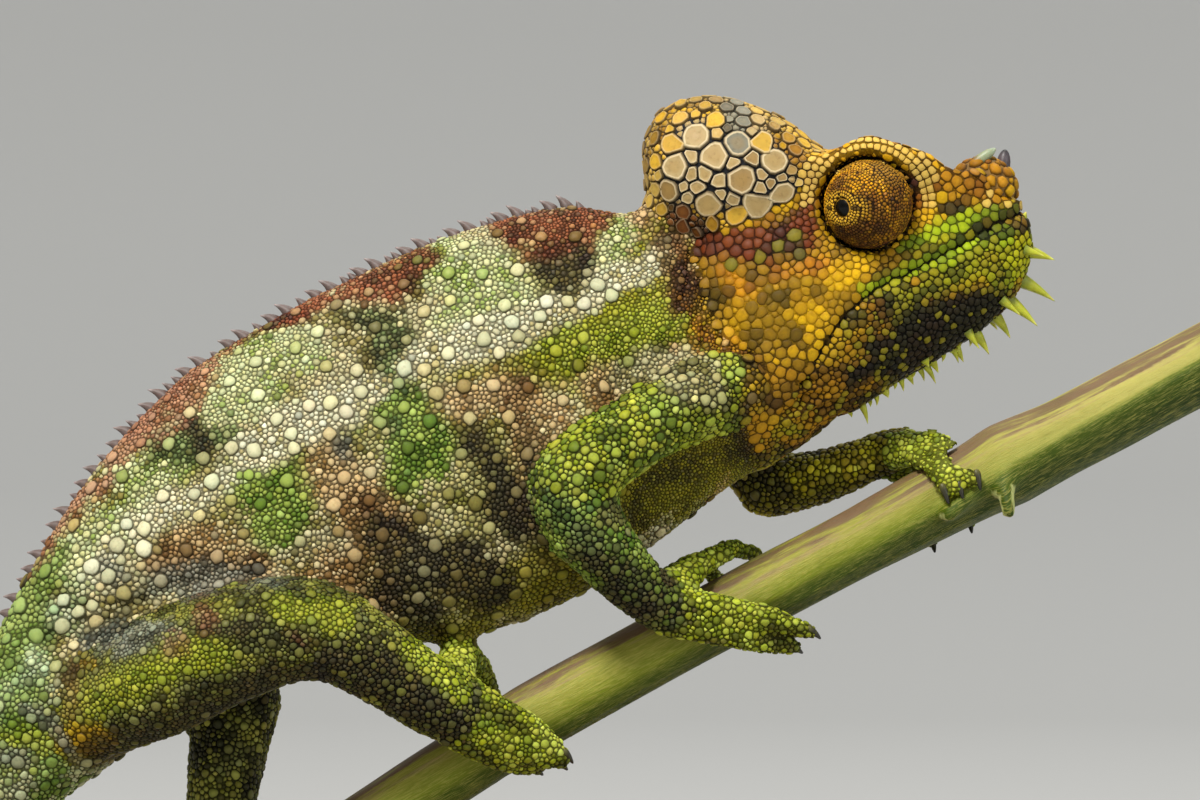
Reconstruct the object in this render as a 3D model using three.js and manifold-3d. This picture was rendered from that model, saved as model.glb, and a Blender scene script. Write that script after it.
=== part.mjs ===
// A grown male helmeted chameleon, Trioceros hoehnelii, life size, climbing a cut plant stem that a wood and
// brass stand holds up. Millimetres, +Z up. The animal faces +X and its right side is -Y; y = 0 is its middle
// plane. The origin is the middle of the base's underside.
import * as THREE from "three";
import { mergeVertices } from "three/addons/utils/BufferGeometryUtils.js";
import Module from "manifold-3d";

const wasm = await Module();
wasm.setup();

// ---- driving dimensions ----
const GAP = 0.3; // between pieces that meet
const BASE = { length: 112, width: 60, height: 11, corner: 26, bevel: 1.6 };
const ROD = { x: -3.6, radius: 2.2, collarRadius: 4.2, collarHeight: 2.4 };
const STEM_RADIUS = 3.05;
const EYE = { x: 36.2, y: 5.1, z: 93.0, radius: 3.8, opening: 1.62, ball: 1.3 };
const CURL = { x: -39.1, z: 26.7, radius: 10.2, start: 143, turns: 1.88, tightening: 0.796 };
const TAIL_THICK = 3.4, TAIL_TIP = 0.55;

// ---- small helpers ----
const V = (x, y, z) => new THREE.Vector3(x, y, z);
const mix = (a, b, t) => a + (b - a) * t;
const clamp01 = (t) => Math.min(1, Math.max(0, t));

// A smooth curve through rows of equal length, read at `count` even places.
function along(rows, count) {
  const at = (k) => rows[Math.min(Math.max(k, 0), rows.length - 1)];
  return Array.from({ length: count }, (_, i) => {
    const u = (i / (count - 1)) * (rows.length - 1);
    const k = Math.min(Math.floor(u), rows.length - 2);
    const t = u - k;
    return rows[0].map((_, c) => {
      const [p, q, r, s] = [at(k - 1)[c], at(k)[c], at(k + 1)[c], at(k + 2)[c]];
      return q + 0.5 * t * (r - p + t * (2 * p - 5 * q + 4 * r - s + t * (3 * (q - r) + s - p)));
    });
  });
}

// A three.js geometry as a solid that can be joined and cut.
function solid(geometry) {
  const bare = geometry.index ? geometry.toNonIndexed() : geometry.clone();
  bare.deleteAttribute("normal");
  bare.deleteAttribute("uv");
  const merged = mergeVertices(bare, 1e-4);
  const made = new wasm.Manifold(
    new wasm.Mesh({
      numProp: 3,
      vertProperties: merged.attributes.position.array,
      triVerts: new Uint32Array(merged.index.array),
    }),
  );
  return made;
}

// Rings of points skinned into one closed surface, each end closed to its own pole.
function skinned(rings, poleA, poleB) {
  const n = rings[0].length;
  const points = rings.flat();
  const faces = [];
  for (let i = 0; i + 1 < rings.length; i++)
    for (let j = 0; j < n; j++) {
      const a = i * n + j, b = i * n + ((j + 1) % n), c = a + n, d = b + n;
      faces.push(a, c, b, b, c, d);
    }
  const first = points.length, last = first + 1, end = (rings.length - 1) * n;
  points.push(poleA, poleB);
  for (let j = 0; j < n; j++) {
    faces.push(first, j, (j + 1) % n);
    faces.push(last, end + ((j + 1) % n), end + j);
  }
  const geometry = new THREE.BufferGeometry().setFromPoints(points);
  geometry.setIndex(faces);
  const made = solid(geometry);
  if (made.volume() > 0) return made;
  for (let f = 0; f < faces.length; f += 3) [faces[f + 1], faces[f + 2]] = [faces[f + 2], faces[f + 1]];
  geometry.setIndex(faces);
  return solid(geometry);
}

// A round or oval member along rows of [x, y, z, radius], with domed ends. `deep` is its size across the
// middle plane as a share of its size in that plane.
function member(rows, { rings = 7, sides = 12, deep = 1, grow = 0, ref = V(0, 1, 0), flat = [0, 0] } = {}) {
  const cut = along(rows, rings);
  const centre = cut.map((r) => V(r[0], r[1], r[2]));
  const way = centre.map((_, i) =>
    centre[Math.min(i + 1, rings - 1)].clone().sub(centre[Math.max(i - 1, 0)]).normalize(),
  );
  const ring = (i, shift, scale) => {
    const r = cut[i][3] + grow;
    const across = ref.clone().addScaledVector(way[i], -ref.dot(way[i])).normalize();
    const within = way[i].clone().cross(across);
    const at = centre[i].clone().addScaledVector(way[i], shift);
    return Array.from({ length: sides }, (_, j) => {
      const t = (2 * Math.PI * j) / sides;
      return at
        .clone()
        .addScaledVector(within, Math.cos(t) * r * scale)
        .addScaledVector(across, Math.sin(t) * (cut[i][3] * deep + grow) * scale);
    });
  };
  const last = rings - 1;
  const dome = (i, sign) => {
    const r = Math.min(cut[i][3], cut[i][3] * deep) + grow;
    return [ring(i, sign * r * 0.66, 0.75)];
  };
  const pole = (i, sign) => {
    const r = Math.min(cut[i][3], cut[i][3] * deep) + grow;
    return centre[i].clone().addScaledVector(way[i], sign * (flat[i ? 1 : 0] ? grow : r));
  };
  const all = [
    ...(flat[0] ? (grow ? [ring(0, -grow, 1)] : []) : dome(0, -1)),
    ...cut.map((_, i) => ring(i, 0, 1)),
    ...(flat[1] ? (grow ? [ring(last, grow, 1)] : []) : dome(last, 1).reverse()),
  ];
  return skinned(all, pole(0, -1), pole(last, 1));
}

// A body that is the same on both sides of the middle plane, along rows of
// [top x, top z, bottom x, bottom z, half width]. `ridge` and `keel` narrow its top and its bottom.
function girth(rows, { rings = 14, sides = 22, ridge = 0, keel = 0, full = 1, grow = 0 } = {}) {
  const cut = along(rows, rings);
  const middle = cut.map((r) => V((r[0] + r[2]) / 2, 0, (r[1] + r[3]) / 2));
  const last = rings - 1;
  const out = (i, sign) => middle[i].clone().sub(middle[i - sign]).normalize();
  const ring = (i, shift) =>
    Array.from({ length: sides }, (_, j) => {
      const t = (2 * Math.PI * (j + 0.5)) / sides;
      const c = Math.cos(t), s = Math.sin(t);
      const up = V((cut[i][0] - cut[i][2]) / 2, 0, (cut[i][1] - cut[i][3]) / 2);
      const high = up.length();
      const narrow = 1 - ridge * ((1 + c) / 2) ** 1.5 - keel * ((1 - c) / 2) ** 1.5;
      const side = Math.sign(s) * Math.abs(s) ** full * (cut[i][4] * narrow + grow);
      return middle[i].clone().add(shift).addScaledVector(up, (c * (high + grow)) / high / Math.cos(Math.PI / sides)).setY(side);
    });
  const none = V(0, 0, 0);
  const a = out(0, -1).multiplyScalar(grow), b = out(last, 1).multiplyScalar(grow);
  const all = cut.map((_, i) => ring(i, i === 0 ? a : i === last ? b : none));
  return skinned(all, middle[0].clone().add(a), middle[last].clone().add(b));
}

const join = (...solids) => solids.reduce((all, one) => all.add(one));
const cutBy = (body, ...tools) => tools.reduce((rest, tool) => rest.subtract(tool), body);
const largest = (body) => body.decompose().reduce((a, b) => (b.volume() > a.volume() ? b : a));
const mirrored = (rows) => rows.map((r) => [r[0], -r[1], ...r.slice(2)]);

// A soft spine: a slim cone from a root to a tip.
function spine(root, tip, radius, sides = 5, grow = 0) {
  const span = tip.clone().sub(root);
  const cone = new THREE.ConeGeometry(radius + 1.5 * grow, span.length() + 3 * grow, sides);
  cone.translate(0, span.length() / 2 + 0.5 * grow, 0);
  cone.applyQuaternion(new THREE.Quaternion().setFromUnitVectors(V(0, 1, 0), span.clone().normalize()));
  cone.translate(root.x, root.y, root.z);
  return solid(cone);
}

// An egg-shaped lump, tipped by `tilt` degrees in the middle plane.
function lump([x, y, z], [rx, ry, rz], tilt = 0, grow = 0, across = 14, high = 10) {
  const ball = new THREE.SphereGeometry(1, across, high).rotateX(Math.PI / 2);
  ball.scale(rx + grow, ry + grow, rz + grow).rotateY(THREE.MathUtils.degToRad(-tilt));
  return solid(ball.translate(x, y, z));
}

// ---- trunk and neck ----
const trunkRows = [
  [11.6, 93.4, 23.2, 68.0, 7.2],
  [5.6, 92.2, 17.4, 63.5, 8.1],
  [-1.3, 89.8, 11.4, 59.4, 8.8],
  [-8.5, 86.6, 5.0, 57.0, 9.3],
  [-15.8, 82.6, -0.4, 55.8, 9.3],
  [-22.6, 78.2, -6.0, 55.6, 8.8],
  [-28.2, 72.2, -11.2, 54.8, 8.1],
  [-32.4, 66.6, -15.8, 52.6, 7.3],
  [-35.8, 60.6, -21.2, 49.6, 6.4],
  [-38.8, 55.0, -27.2, 45.9, 5.4],
];
const neckRows = [
  [11.8, 93.2, 23.0, 67.8, 6.9],
  [15.6, 92.4, 25.6, 69.6, 6.6],
  [19.6, 92.6, 28.0, 71.7, 6.6],
  [24.0, 93.0, 30.4, 73.8, 6.8],
];
const trunk = (grow) => girth(trunkRows, { rings: 12, sides: 16, ridge: 0.34, full: 0.92, grow });
const neck = (grow) => girth(neckRows, { rings: 4, sides: 16, ridge: 0.2, full: 0.95, grow });

// ---- tail: a straight root, then a curl of tightening turns in the middle plane ----
const curlPoint = (turn) => {
  const r = CURL.radius * Math.exp(-CURL.tightening * turn);
  const a = THREE.MathUtils.degToRad(CURL.start + 360 * turn);
  const thick = mix(TAIL_THICK, TAIL_TIP, clamp01(turn / CURL.turns) ** 0.55);
  return [CURL.x + r * Math.cos(a), 0, CURL.z + r * Math.sin(a), thick];
};
const curl = (from, to, rings, grow, flat) =>
  member(Array.from({ length: rings }, (_, i) => curlPoint(mix(from, to, i / (rings - 1)))), {
    rings, sides: 8, deep: 0.86, grow, flat,
  });
const tail = {
  tail_base: (grow) =>
    member([[-31.6, 0, 52.2, 7.7], [-36.8, 0, 46.4, 6.1], [-41.2, 0, 40.9, 4.8], [-44.6, 0, 36.4, 4.0]], {
      rings: 5, sides: 12, deep: 0.78, grow, flat: [1, 1],
    }),
  tail_second: (grow) =>
    member([[-44.6, 0, 36.4, 4.0], curlPoint(0), curlPoint(0.06), curlPoint(0.12), curlPoint(0.18)], {
      rings: 6, sides: 10, deep: 0.82, grow, flat: [1, 1],
    }),
  tail_third: (grow) => curl(0.18, 0.42, 6, grow, [1, 1]),
  tail_fourth: (grow) => curl(0.42, 0.78, 7, grow, [1, 1]),
  tail_fifth: (grow) => curl(0.78, 1.24, 8, grow, [1, 1]),
  tail_tip: (grow) => curl(1.24, CURL.turns, 8, grow, [1, 0]),
};

// ---- head ----
const headRows = [
  [19.4, 91.6, 27.6, 70.6, 6.9],
  [23.8, 95.0, 31.4, 73.0, 8.3],
  [28.5, 97.2, 36.2, 76.2, 8.5],
  [33.2, 97.4, 39.9, 78.8, 7.7],
  [37.4, 97.9, 43.6, 80.9, 6.4],
  [41.2, 97.4, 47.0, 83.4, 5.1],
  [44.2, 96.2, 49.0, 85.8, 4.1],
  [46.7, 95.6, 49.9, 87.8, 3.2],
  [48.5, 94.6, 50.3, 89.4, 2.3],
  [49.6, 93.2, 50.2, 90.8, 1.1],
];
// Brow ridge over each eye, running on as a ridge to the snout.
const browRows = [
  [31.4, -4.4, 96.1, 1.1],
  [34.0, -4.9, 97.3, 1.35],
  [37.4, -5.0, 97.8, 1.4],
  [40.6, -4.3, 96.8, 1.3],
  [43.2, -3.4, 95.5, 1.1],
  [45.8, -2.4, 95.2, 1.0],
];
const roofRows = [
  [29.8, 96.8, 31.2, 90.4, 5.0],
  [33.8, 98.0, 34.9, 91.0, 5.5],
  [37.6, 98.5, 38.5, 91.6, 5.6],
  [41.0, 97.3, 41.8, 91.6, 4.8],
  [43.8, 95.8, 44.5, 91.6, 3.9],
  [46.6, 95.6, 47.1, 91.8, 2.9],
];
const wholeHead = (grow) =>
  join(
    girth(headRows, { rings: 11, sides: 14, ridge: 0.4, keel: 0.18, full: 0.9, grow }),
    girth(roofRows, { rings: 5, sides: 8, full: 0.6, grow }),
    member(browRows, { rings: 4, sides: 6, grow }),
    member(mirrored(browRows), { rings: 4, sides: 6, grow }),
  );
// Everything under the closed mouth, as a wide prism; `drop` lowers its upper side.
const mouthLine = [[52.5, 94.6], [49.5, 92.7], [46.8, 91.3], [44.2, 89.8], [41.7, 88.5], [39.1, 87.2], [36.6, 85.9], [34.5, 84.2], [32.8, 81.9], [30.4, 78.2], [27.0, 73.0]];
const underMouth = (drop) => {
  const outline = new THREE.Shape(mouthLine.map(([x, z]) => new THREE.Vector2(x + 0.5 * drop, z - drop)));
  outline.lineTo(26, 60).lineTo(60, 60).lineTo(60, 94.6 - drop);
  const prism = new THREE.ExtrudeGeometry(outline, { depth: 30, bevelEnabled: false });
  return solid(prism.rotateX(Math.PI / 2).translate(0, 15, 0));
};
const casqueRows = [
  [17.2, 97.0, 17.6, 94.6, 1.6],
  [17.6, 99.7, 19.2, 91.4, 4.2],
  [20.2, 101.9, 22.6, 90.2, 5.9],
  [23.8, 102.3, 26.0, 90.3, 6.4],
  [27.2, 101.3, 28.9, 91.2, 6.2],
  [30.2, 99.7, 31.2, 93.0, 5.3],
  [32.6, 98.1, 33.0, 94.8, 3.9],
];
const casque = (grow) => girth(casqueRows, { rings: 10, sides: 14, ridge: 0.26, full: 0.85, grow });
const rostralHorn = (grow) =>
  join(
    lump([46.3, 0, 94.7], [3.0, 2.5, 2.5], -18, grow, 10, 6),
    spine(V(46.4, 0.8, 95.6), V(47.6, 0.9, 97.9), 0.95, 5, grow),
    spine(V(46.4, -0.8, 95.6), V(47.6, -0.9, 97.9), 0.95, 5, grow),
  );
// Eye turret: a ball about the line of sight, with a lipped round opening for the eye.
function sight(side, back, down) {
  const turn = THREE.MathUtils.degToRad(back);
  return V(-Math.sin(turn), side * Math.cos(turn), -Math.sin(THREE.MathUtils.degToRad(down))).normalize();
}
const gaze = { right: sight(-1, 42, 7), left: sight(1, -14, -4) };
const eyePlace = { right: V(EYE.x, -EYE.y, EYE.z), left: V(EYE.x, EYE.y, EYE.z) };
function aimed(geometry, side) {
  geometry.applyQuaternion(new THREE.Quaternion().setFromUnitVectors(V(0, 1, 0), gaze[side]));
  const p = eyePlace[side];
  return solid(geometry.translate(p.x, p.y, p.z));
}
function turret(side, grow) {
  const R = EYE.radius + grow, lip = EYE.opening;
  const outline = [[0, -R]];
  for (let a = -50; a <= 50; a += 25) {
    const t = THREE.MathUtils.degToRad(a);
    outline.push([R * Math.cos(t), R * Math.sin(t)]);
  }
  if (grow) outline.push([0, R]);
  else outline.push([lip + 0.25, R * 0.965], [lip, R * 0.93], [lip + 0.1, R - 2.6], [0, R - 2.8]);
  const lathe = new THREE.LatheGeometry(outline.map(([x, y]) => new THREE.Vector2(Math.max(x, 0), y)), grow ? 12 : 14);
  return aimed(lathe, side);
}
function eyeball(side) {
  const ball = new THREE.SphereGeometry(EYE.ball, 9, 6).scale(1, 0.85, 1);
  return aimed(ball.translate(0, EYE.radius - 1.32, 0), side);
}

// ---- limbs: rows of [x, y, z, radius] from the body outwards ----
const limbs = {
  upper_arm_right: [[24.6, -4.2, 77.8, 3.5], [21.4, -6.6, 76.4, 3.2], [17.4, -7.9, 74.3, 3.0], [13.4, -8.6, 71.6, 3.3], [11.2, -8.6, 69.6, 3.5]],
  forearm_right: [[11.2, -8.6, 68.6, 3.6], [12.6, -8.2, 65.6, 3.4], [15.0, -7.3, 62.6, 3.0], [17.2, -6.2, 60.4, 2.6], [18.6, -5.4, 59.2, 2.4]],
  upper_arm_left: [[24.6, 4.2, 76.6, 3.3], [25.0, 6.4, 74.8, 3.1], [26.2, 7.4, 72.2, 3.0], [27.4, 7.4, 69.9, 2.9]],
  forearm_left: [[27.9, 7.1, 69.0, 2.9], [31.4, 5.8, 69.6, 2.6], [35.2, 4.2, 70.8, 2.25], [38.4, 3.4, 72.4, 1.95]],
  thigh_right: [[-28.6, -2.6, 51.0, 5.0], [-23.6, -6.0, 53.0, 5.3], [-18.2, -8.0, 55.6, 5.1], [-13.0, -8.8, 57.2, 4.7], [-10.0, -8.8, 57.2, 4.4]],
  shank_right: [[-9.0, -8.7, 56.9, 4.2], [-5.4, -8.0, 54.8, 3.75], [-2.2, -7.2, 52.6, 3.5], [0.6, -6.4, 50.8, 3.3]],
  thigh_left: [[-28.8, 2.6, 51.2, 4.8], [-24.8, 5.4, 52.4, 4.8], [-20.6, 7.4, 53.0, 4.5], [-18.0, 7.9, 52.4, 4.2]],
  shank_left: [[-17.6, 7.9, 51.2, 4.1], [-18.4, 7.2, 46.4, 3.6], [-19.0, 6.4, 41.4, 3.2], [-19.3, 5.8, 38.0, 2.9]],
};
const limb = (name, grow) => member(limbs[name], { rings: 5, sides: 9, grow });

// ---- perch ----
const stemRows = [
  [-24.4, 0, 26.0, STEM_RADIUS],
  [-10.2, 0, 37.6, STEM_RADIUS],
  [0.9, 0, 44.9, STEM_RADIUS],
  [11.9, 0, 51.9, STEM_RADIUS],
  [28.9, 0, 60.9, STEM_RADIUS],
  [43.6, 0, 68.6, 3.2],
  [47.6, 0, 70.8, 3.75],
  [51.4, 0, 72.6, 3.4],
  [67.6, 0, 81.0, 3.4],
];
// Cut stubs of two leaf stalks leave the swollen joint.
const stalkRows = [
  [[47.4, -2.4, 70.2, 1.15], [47.9, -4.0, 68.6, 1.0], [48.2, -4.6, 66.2, 0.95]],
  [[45.6, -2.4, 69.4, 1.1], [44.2, -3.8, 67.9, 0.95], [42.6, -4.4, 66.2, 0.9]],
];
const stem = (grow) =>
  join(
    member(stemRows, { rings: 10, sides: 12, grow, flat: [1, 1] }),
    ...stalkRows.map((rows) => member(rows, { rings: 3, sides: 5, grow, flat: [1, 1] })),
  );

// ---- feet: each is two opposed bundles of toes ----
// Toes as rows of [x, y, z, radius], from the ankle to the toe's tip.
const feet = {
  forefoot_right: {
    outer: [
      [[18.9, -5.2, 59.0, 2.3], [22.0, -5.2, 59.2, 1.6], [25.6, -5.0, 58.6, 1.3], [28.8, -4.6, 58.0, 1.15], [30.7, -4.0, 57.2, 0.9]],
      [[18.9, -5.0, 58.6, 2.2], [21.6, -5.0, 57.4, 1.6], [24.6, -4.6, 56.6, 1.3], [27.2, -3.9, 56.0, 1.15], [29.2, -3.0, 55.6, 0.9]],
    ],
    inner: [
      [[19.6, -4.6, 60.2, 1.9], [21.4, -2.6, 62.0, 1.3], [23.6, -0.6, 63.6, 1.15], [25.4, 1.6, 63.9, 1.05], [26.6, 3.2, 63.4, 0.85]],
      [[19.4, -4.5, 60.4, 1.9], [20.6, -2.4, 61.9, 1.25], [21.8, 0.2, 62.8, 1.1], [23.0, 2.4, 62.2, 1.0], [23.8, 4.0, 60.8, 0.85]],
      [[19.2, -4.4, 60.2, 1.8], [19.4, -2.2, 61.2, 1.2], [19.6, 0.4, 61.6, 1.1], [20.0, 2.8, 60.6, 1.0], [20.4, 4.2, 58.8, 0.85]],
    ],
  },
  forefoot_left: {
    outer: [
      [[39.0, 3.6, 72.6, 1.9], [41.2, 4.2, 72.0, 1.3], [43.2, 4.7, 70.4, 1.15], [44.6, 4.5, 68.4, 1.0], [45.0, 3.8, 66.8, 0.85]],
      [[38.6, 3.8, 72.2, 1.9], [39.4, 4.6, 70.4, 1.3], [40.4, 4.9, 68.6, 1.15], [41.4, 4.4, 66.4, 1.0], [41.8, 3.4, 65.0, 0.85]],
    ],
    inner: [
      [[38.8, 3.2, 72.4, 1.75], [41.6, 1.0, 73.0, 1.15], [43.7, -1.3, 72.7, 0.95], [44.9, -2.8, 71.6, 0.85], [45.3, -3.6, 70.4, 0.7]],
      [[38.6, 3.0, 72.3, 1.75], [40.5, 0.8, 72.4, 1.15], [42.3, -1.7, 71.9, 0.95], [43.3, -3.2, 70.7, 0.85], [43.7, -3.9, 69.7, 0.7]],
      [[38.4, 2.8, 72.2, 1.75], [39.6, 0.6, 71.7, 1.15], [41.0, -1.9, 71.2, 0.95], [42.0, -3.4, 70.0, 0.85], [42.4, -4.0, 69.2, 0.7]],
    ],
  },
  hindfoot_right: {
    outer: [
      [[0.9, -6.2, 51.2, 2.9], [3.6, -6.0, 50.8, 1.75], [6.2, -5.6, 50.0, 1.5], [8.3, -5.0, 48.5, 1.3], [10.0, -4.2, 47.1, 1.0]],
      [[0.9, -6.2, 50.6, 2.9], [3.4, -6.0, 48.9, 1.75], [5.8, -5.5, 47.7, 1.5], [7.9, -4.8, 46.8, 1.3], [9.4, -3.9, 46.1, 1.0]],
      [[0.7, -6.0, 50.2, 2.9], [2.6, -5.7, 47.9, 1.7], [4.4, -5.0, 46.6, 1.45], [6.2, -4.1, 45.8, 1.2], [7.4, -3.2, 45.4, 0.95]],
    ],
    inner: [
      [[0.8, -5.6, 52.0, 2.5], [1.6, -3.2, 54.6, 1.75], [2.4, -0.4, 55.0, 1.6], [3.6, 2.4, 52.6, 1.4], [4.6, 4.2, 50.4, 1.05]],
      [[0.6, -5.4, 52.0, 2.5], [0.2, -2.8, 52.6, 1.75], [0.4, 0.2, 51.6, 1.6], [1.2, 3.0, 49.6, 1.4], [2.0, 4.4, 47.6, 1.05]],
    ],
  },
  hindfoot_left: {
    outer: [
      [[-19.2, 5.6, 37.6, 2.7], [-16.8, 5.6, 36.2, 1.6], [-14.4, 5.2, 34.6, 1.4], [-12.6, 4.8, 33.0, 1.2], [-11.4, 4.0, 31.6, 0.95]],
      [[-19.3, 5.5, 37.2, 2.7], [-17.8, 5.4, 34.6, 1.6], [-15.9, 5.0, 32.6, 1.4], [-14.2, 4.2, 31.0, 1.2], [-13.0, 3.2, 29.8, 0.95]],
      [[-19.5, 5.4, 37.0, 2.6], [-19.2, 5.2, 33.8, 1.6], [-17.8, 4.6, 31.2, 1.4], [-16.2, 3.4, 29.4, 1.2], [-15.0, 2.2, 28.6, 0.95]],
    ],
    inner: [
      [[-19.0, 5.0, 38.4, 2.3], [-16.6, 2.6, 38.4, 1.55], [-14.4, -0.4, 38.6, 1.4], [-12.8, -2.8, 37.4, 1.2], [-11.6, -4.4, 35.6, 0.95]],
      [[-19.2, 4.8, 38.2, 2.3], [-18.2, 2.2, 36.6, 1.55], [-16.4, -0.8, 36.0, 1.4], [-15.0, -3.2, 34.6, 1.2], [-14.0, -4.6, 32.6, 0.95]],
    ],
  },
};
const toe = (rows, grow) => member(rows, { rings: 4, sides: 5, grow, ref: V(0.62, 0.2, 0.42).normalize(), flat: [1, 0] });
const bundle = (foot, which, grow) => join(...feet[foot][which].map((rows) => toe(rows, grow)));

// A claw: a short horn carried on from the toe's tip, hooked down onto the stem.
function claw(rows, grow = 0) {
  const [a, b] = [rows[rows.length - 2], rows[rows.length - 1]];
  const tip = V(b[0], b[1], b[2]);
  const way = tip.clone().sub(V(a[0], a[1], a[2])).normalize();
  const hook = way.clone().addScaledVector(V(0, -Math.sign(tip.y) * 0.5, -0.5), 1.3).normalize();
  const start = tip.clone().addScaledVector(way, b[3] + 0.08);
  const bend = start.clone().addScaledVector(way, 0.4);
  const point = bend.clone().addScaledVector(hook, 0.6);
  const r = 0.26 + 0.24 * b[3];
  return member(
    [[...start.toArray(), r], [...bend.toArray(), r * 0.86], [...point.toArray(), 0.14]],
    { rings: 3, sides: 5, grow, ref: V(0.3, 0.5, 0.8).normalize(), flat: [1, 1] },
  );
}

// ---- assembly: each piece is cut back by the ones it meets, so a gap is left between them ----
const model = new THREE.Group();
function add(name, body, colour, roughness, metalness = 0) {
  const mesh = largest(body).getMesh();
  const geometry = new THREE.BufferGeometry();
  geometry.setAttribute("position", new THREE.BufferAttribute(new Float32Array(mesh.vertProperties), 3));
  geometry.setIndex(new THREE.BufferAttribute(new Uint32Array(mesh.triVerts), 1));
  geometry.computeVertexNormals();
  const made = new THREE.Mesh(geometry, new THREE.MeshStandardMaterial({ color: colour, roughness, metalness }));
  made.name = name;
  model.add(made);
}
const skin = { leaf: 0x7f8f3a, moss: 0x5d6b33, gold: 0xc79a2e, sand: 0xa08a62, cheek: 0xc98a24 };

// Back crest: pairs of backward-leaning spines set along the trunk's upper line.
function crest(body) {
  const line = along(trunkRows, 61).map((r) => V(r[0], 0, r[1]));
  const step = 4.25, companion = 1.45;
  const walked = line.map(() => 0);
  for (let i = 1; i < line.length; i++) walked[i] = walked[i - 1] + line[i].distanceTo(line[i - 1]);
  let made = body;
  for (let at = 1.2; at < walked.at(-1) - 1; at += step)
    for (const [place, tall] of [[at, 1.05], [at + companion, 0.8]]) {
      const i = walked.findIndex((w) => w >= place);
      if (i < 1) continue;
      const way = line[i].clone().sub(line[i - 1]).normalize();
      const up = V(way.z, 0, -way.x);
      const on = line[i].clone().addScaledVector(way, place - walked[i]);
      const size = place > 44 ? 0.8 : 1;
      const root = on.clone().addScaledVector(up, -0.8);
      made = made.add(spine(root, on.addScaledVector(up, tall * size).addScaledVector(way, 0.35), 0.75, 4));
    }
  return made;
}
add("trunk", crest(trunk(0)), skin.leaf, 0.8);

// Beard: soft spines under the chin, long at the front and short towards the throat.
const chin = [[50.5, 89.2], [50.0, 86.9], [49.0, 85.4], [47.7, 84.2], [45.8, 82.9], [43.9, 81.6], [41.8, 80.4], [39.8, 79.2], [37.7, 77.9], [35.6, 76.6], [33.5, 75.2]];
function beard(body) {
  return chin.reduce((made, [x, z], i) => {
    const long = [1.9, 3.1, 3.2, 2.6, 2.7, 2.0, 1.7, 1.5, 1.3, 1.1, 1.0][i];
    const y = i % 2 ? 0.45 : -0.45;
    const lean = mix(-0.45, -1.25, clamp01(i / 3));
    const way = V(Math.cos(lean), 0, Math.sin(lean));
    const root = V(x, y, z).addScaledVector(way, -1.3);
    return made.add(spine(root, V(x, y * 1.3, z).addScaledVector(way, long), 0.62, 4));
  }, body);
}
const turrets = (grow) => [turret("right", grow), turret("left", grow)];
const head = cutBy(wholeHead(0), underMouth(0), ...turrets(GAP), rostralHorn(GAP), casque(GAP));
const jaw = beard(cutBy(wholeHead(0).intersect(underMouth(GAP)), ...turrets(GAP)));
add("head", head, skin.cheek, 0.75);
add("jaw", jaw, skin.leaf, 0.75);
add("casque", casque(0), skin.gold, 0.65);
add("rostral_horn", rostralHorn(0), skin.gold, 0.6);
for (const side of ["right", "left"]) {
  add("eye_turret_" + side, turret(side, 0), 0x6e5a26, 0.7);
  add("eye_" + side, eyeball(side), 0x120c06, 0.15);
}
add("neck", cutBy(neck(0), trunk(GAP), wholeHead(GAP), casque(GAP)), skin.cheek, 0.8);

let previous = trunk;
for (const [name, body] of Object.entries(tail)) {
  add(name, cutBy(body(0), previous(GAP)), skin.moss, 0.8);
  previous = body;
}

const torso = [trunk(GAP), neck(GAP), wholeHead(GAP), tail.tail_base(GAP)];
const stemGrown = stem(GAP);
for (const side of ["right", "left"]) {
  const near = (name) => name + "_" + side;
  add(near("upper_arm"), cutBy(limb(near("upper_arm"), 0), ...torso), skin.leaf, 0.8);
  add(near("forearm"), cutBy(limb(near("forearm"), 0), limb(near("upper_arm"), GAP), ...torso, stemGrown), skin.moss, 0.8);
  add(near("thigh"), cutBy(limb(near("thigh"), 0), ...torso), skin.moss, 0.8);
  add(near("shank"), cutBy(limb(near("shank"), 0), limb(near("thigh"), GAP), ...torso, stemGrown), skin.moss, 0.8);
  for (const [foot, leg] of [["forefoot", "forearm"], ["hindfoot", "shank"]]) {
    const upper = limb(near(leg), GAP);
    const outer = cutBy(bundle(near(foot), "outer", 0), upper, stemGrown);
    const inner = cutBy(bundle(near(foot), "inner", 0), upper, stemGrown, bundle(near(foot), "outer", GAP));
    add(near(foot) + "_outer", outer, skin.leaf, 0.8);
    add(near(foot) + "_inner", inner, skin.leaf, 0.8);
    const toes = [...feet[near(foot)].outer, ...feet[near(foot)].inner];
    const flesh = [bundle(near(foot), "outer", 0.05), bundle(near(foot), "inner", 0.05), stem(0.05)];
    toes.forEach((rows, i) =>
      add("claw_" + near(foot).replace("foot", "") + "_" + (i + 1), cutBy(claw(rows), ...flesh), 0x3a3a2c, 0.4),
    );
  }
}

add("perch_stem", stem(0), 0x8a9a3c, 0.6);

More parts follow.
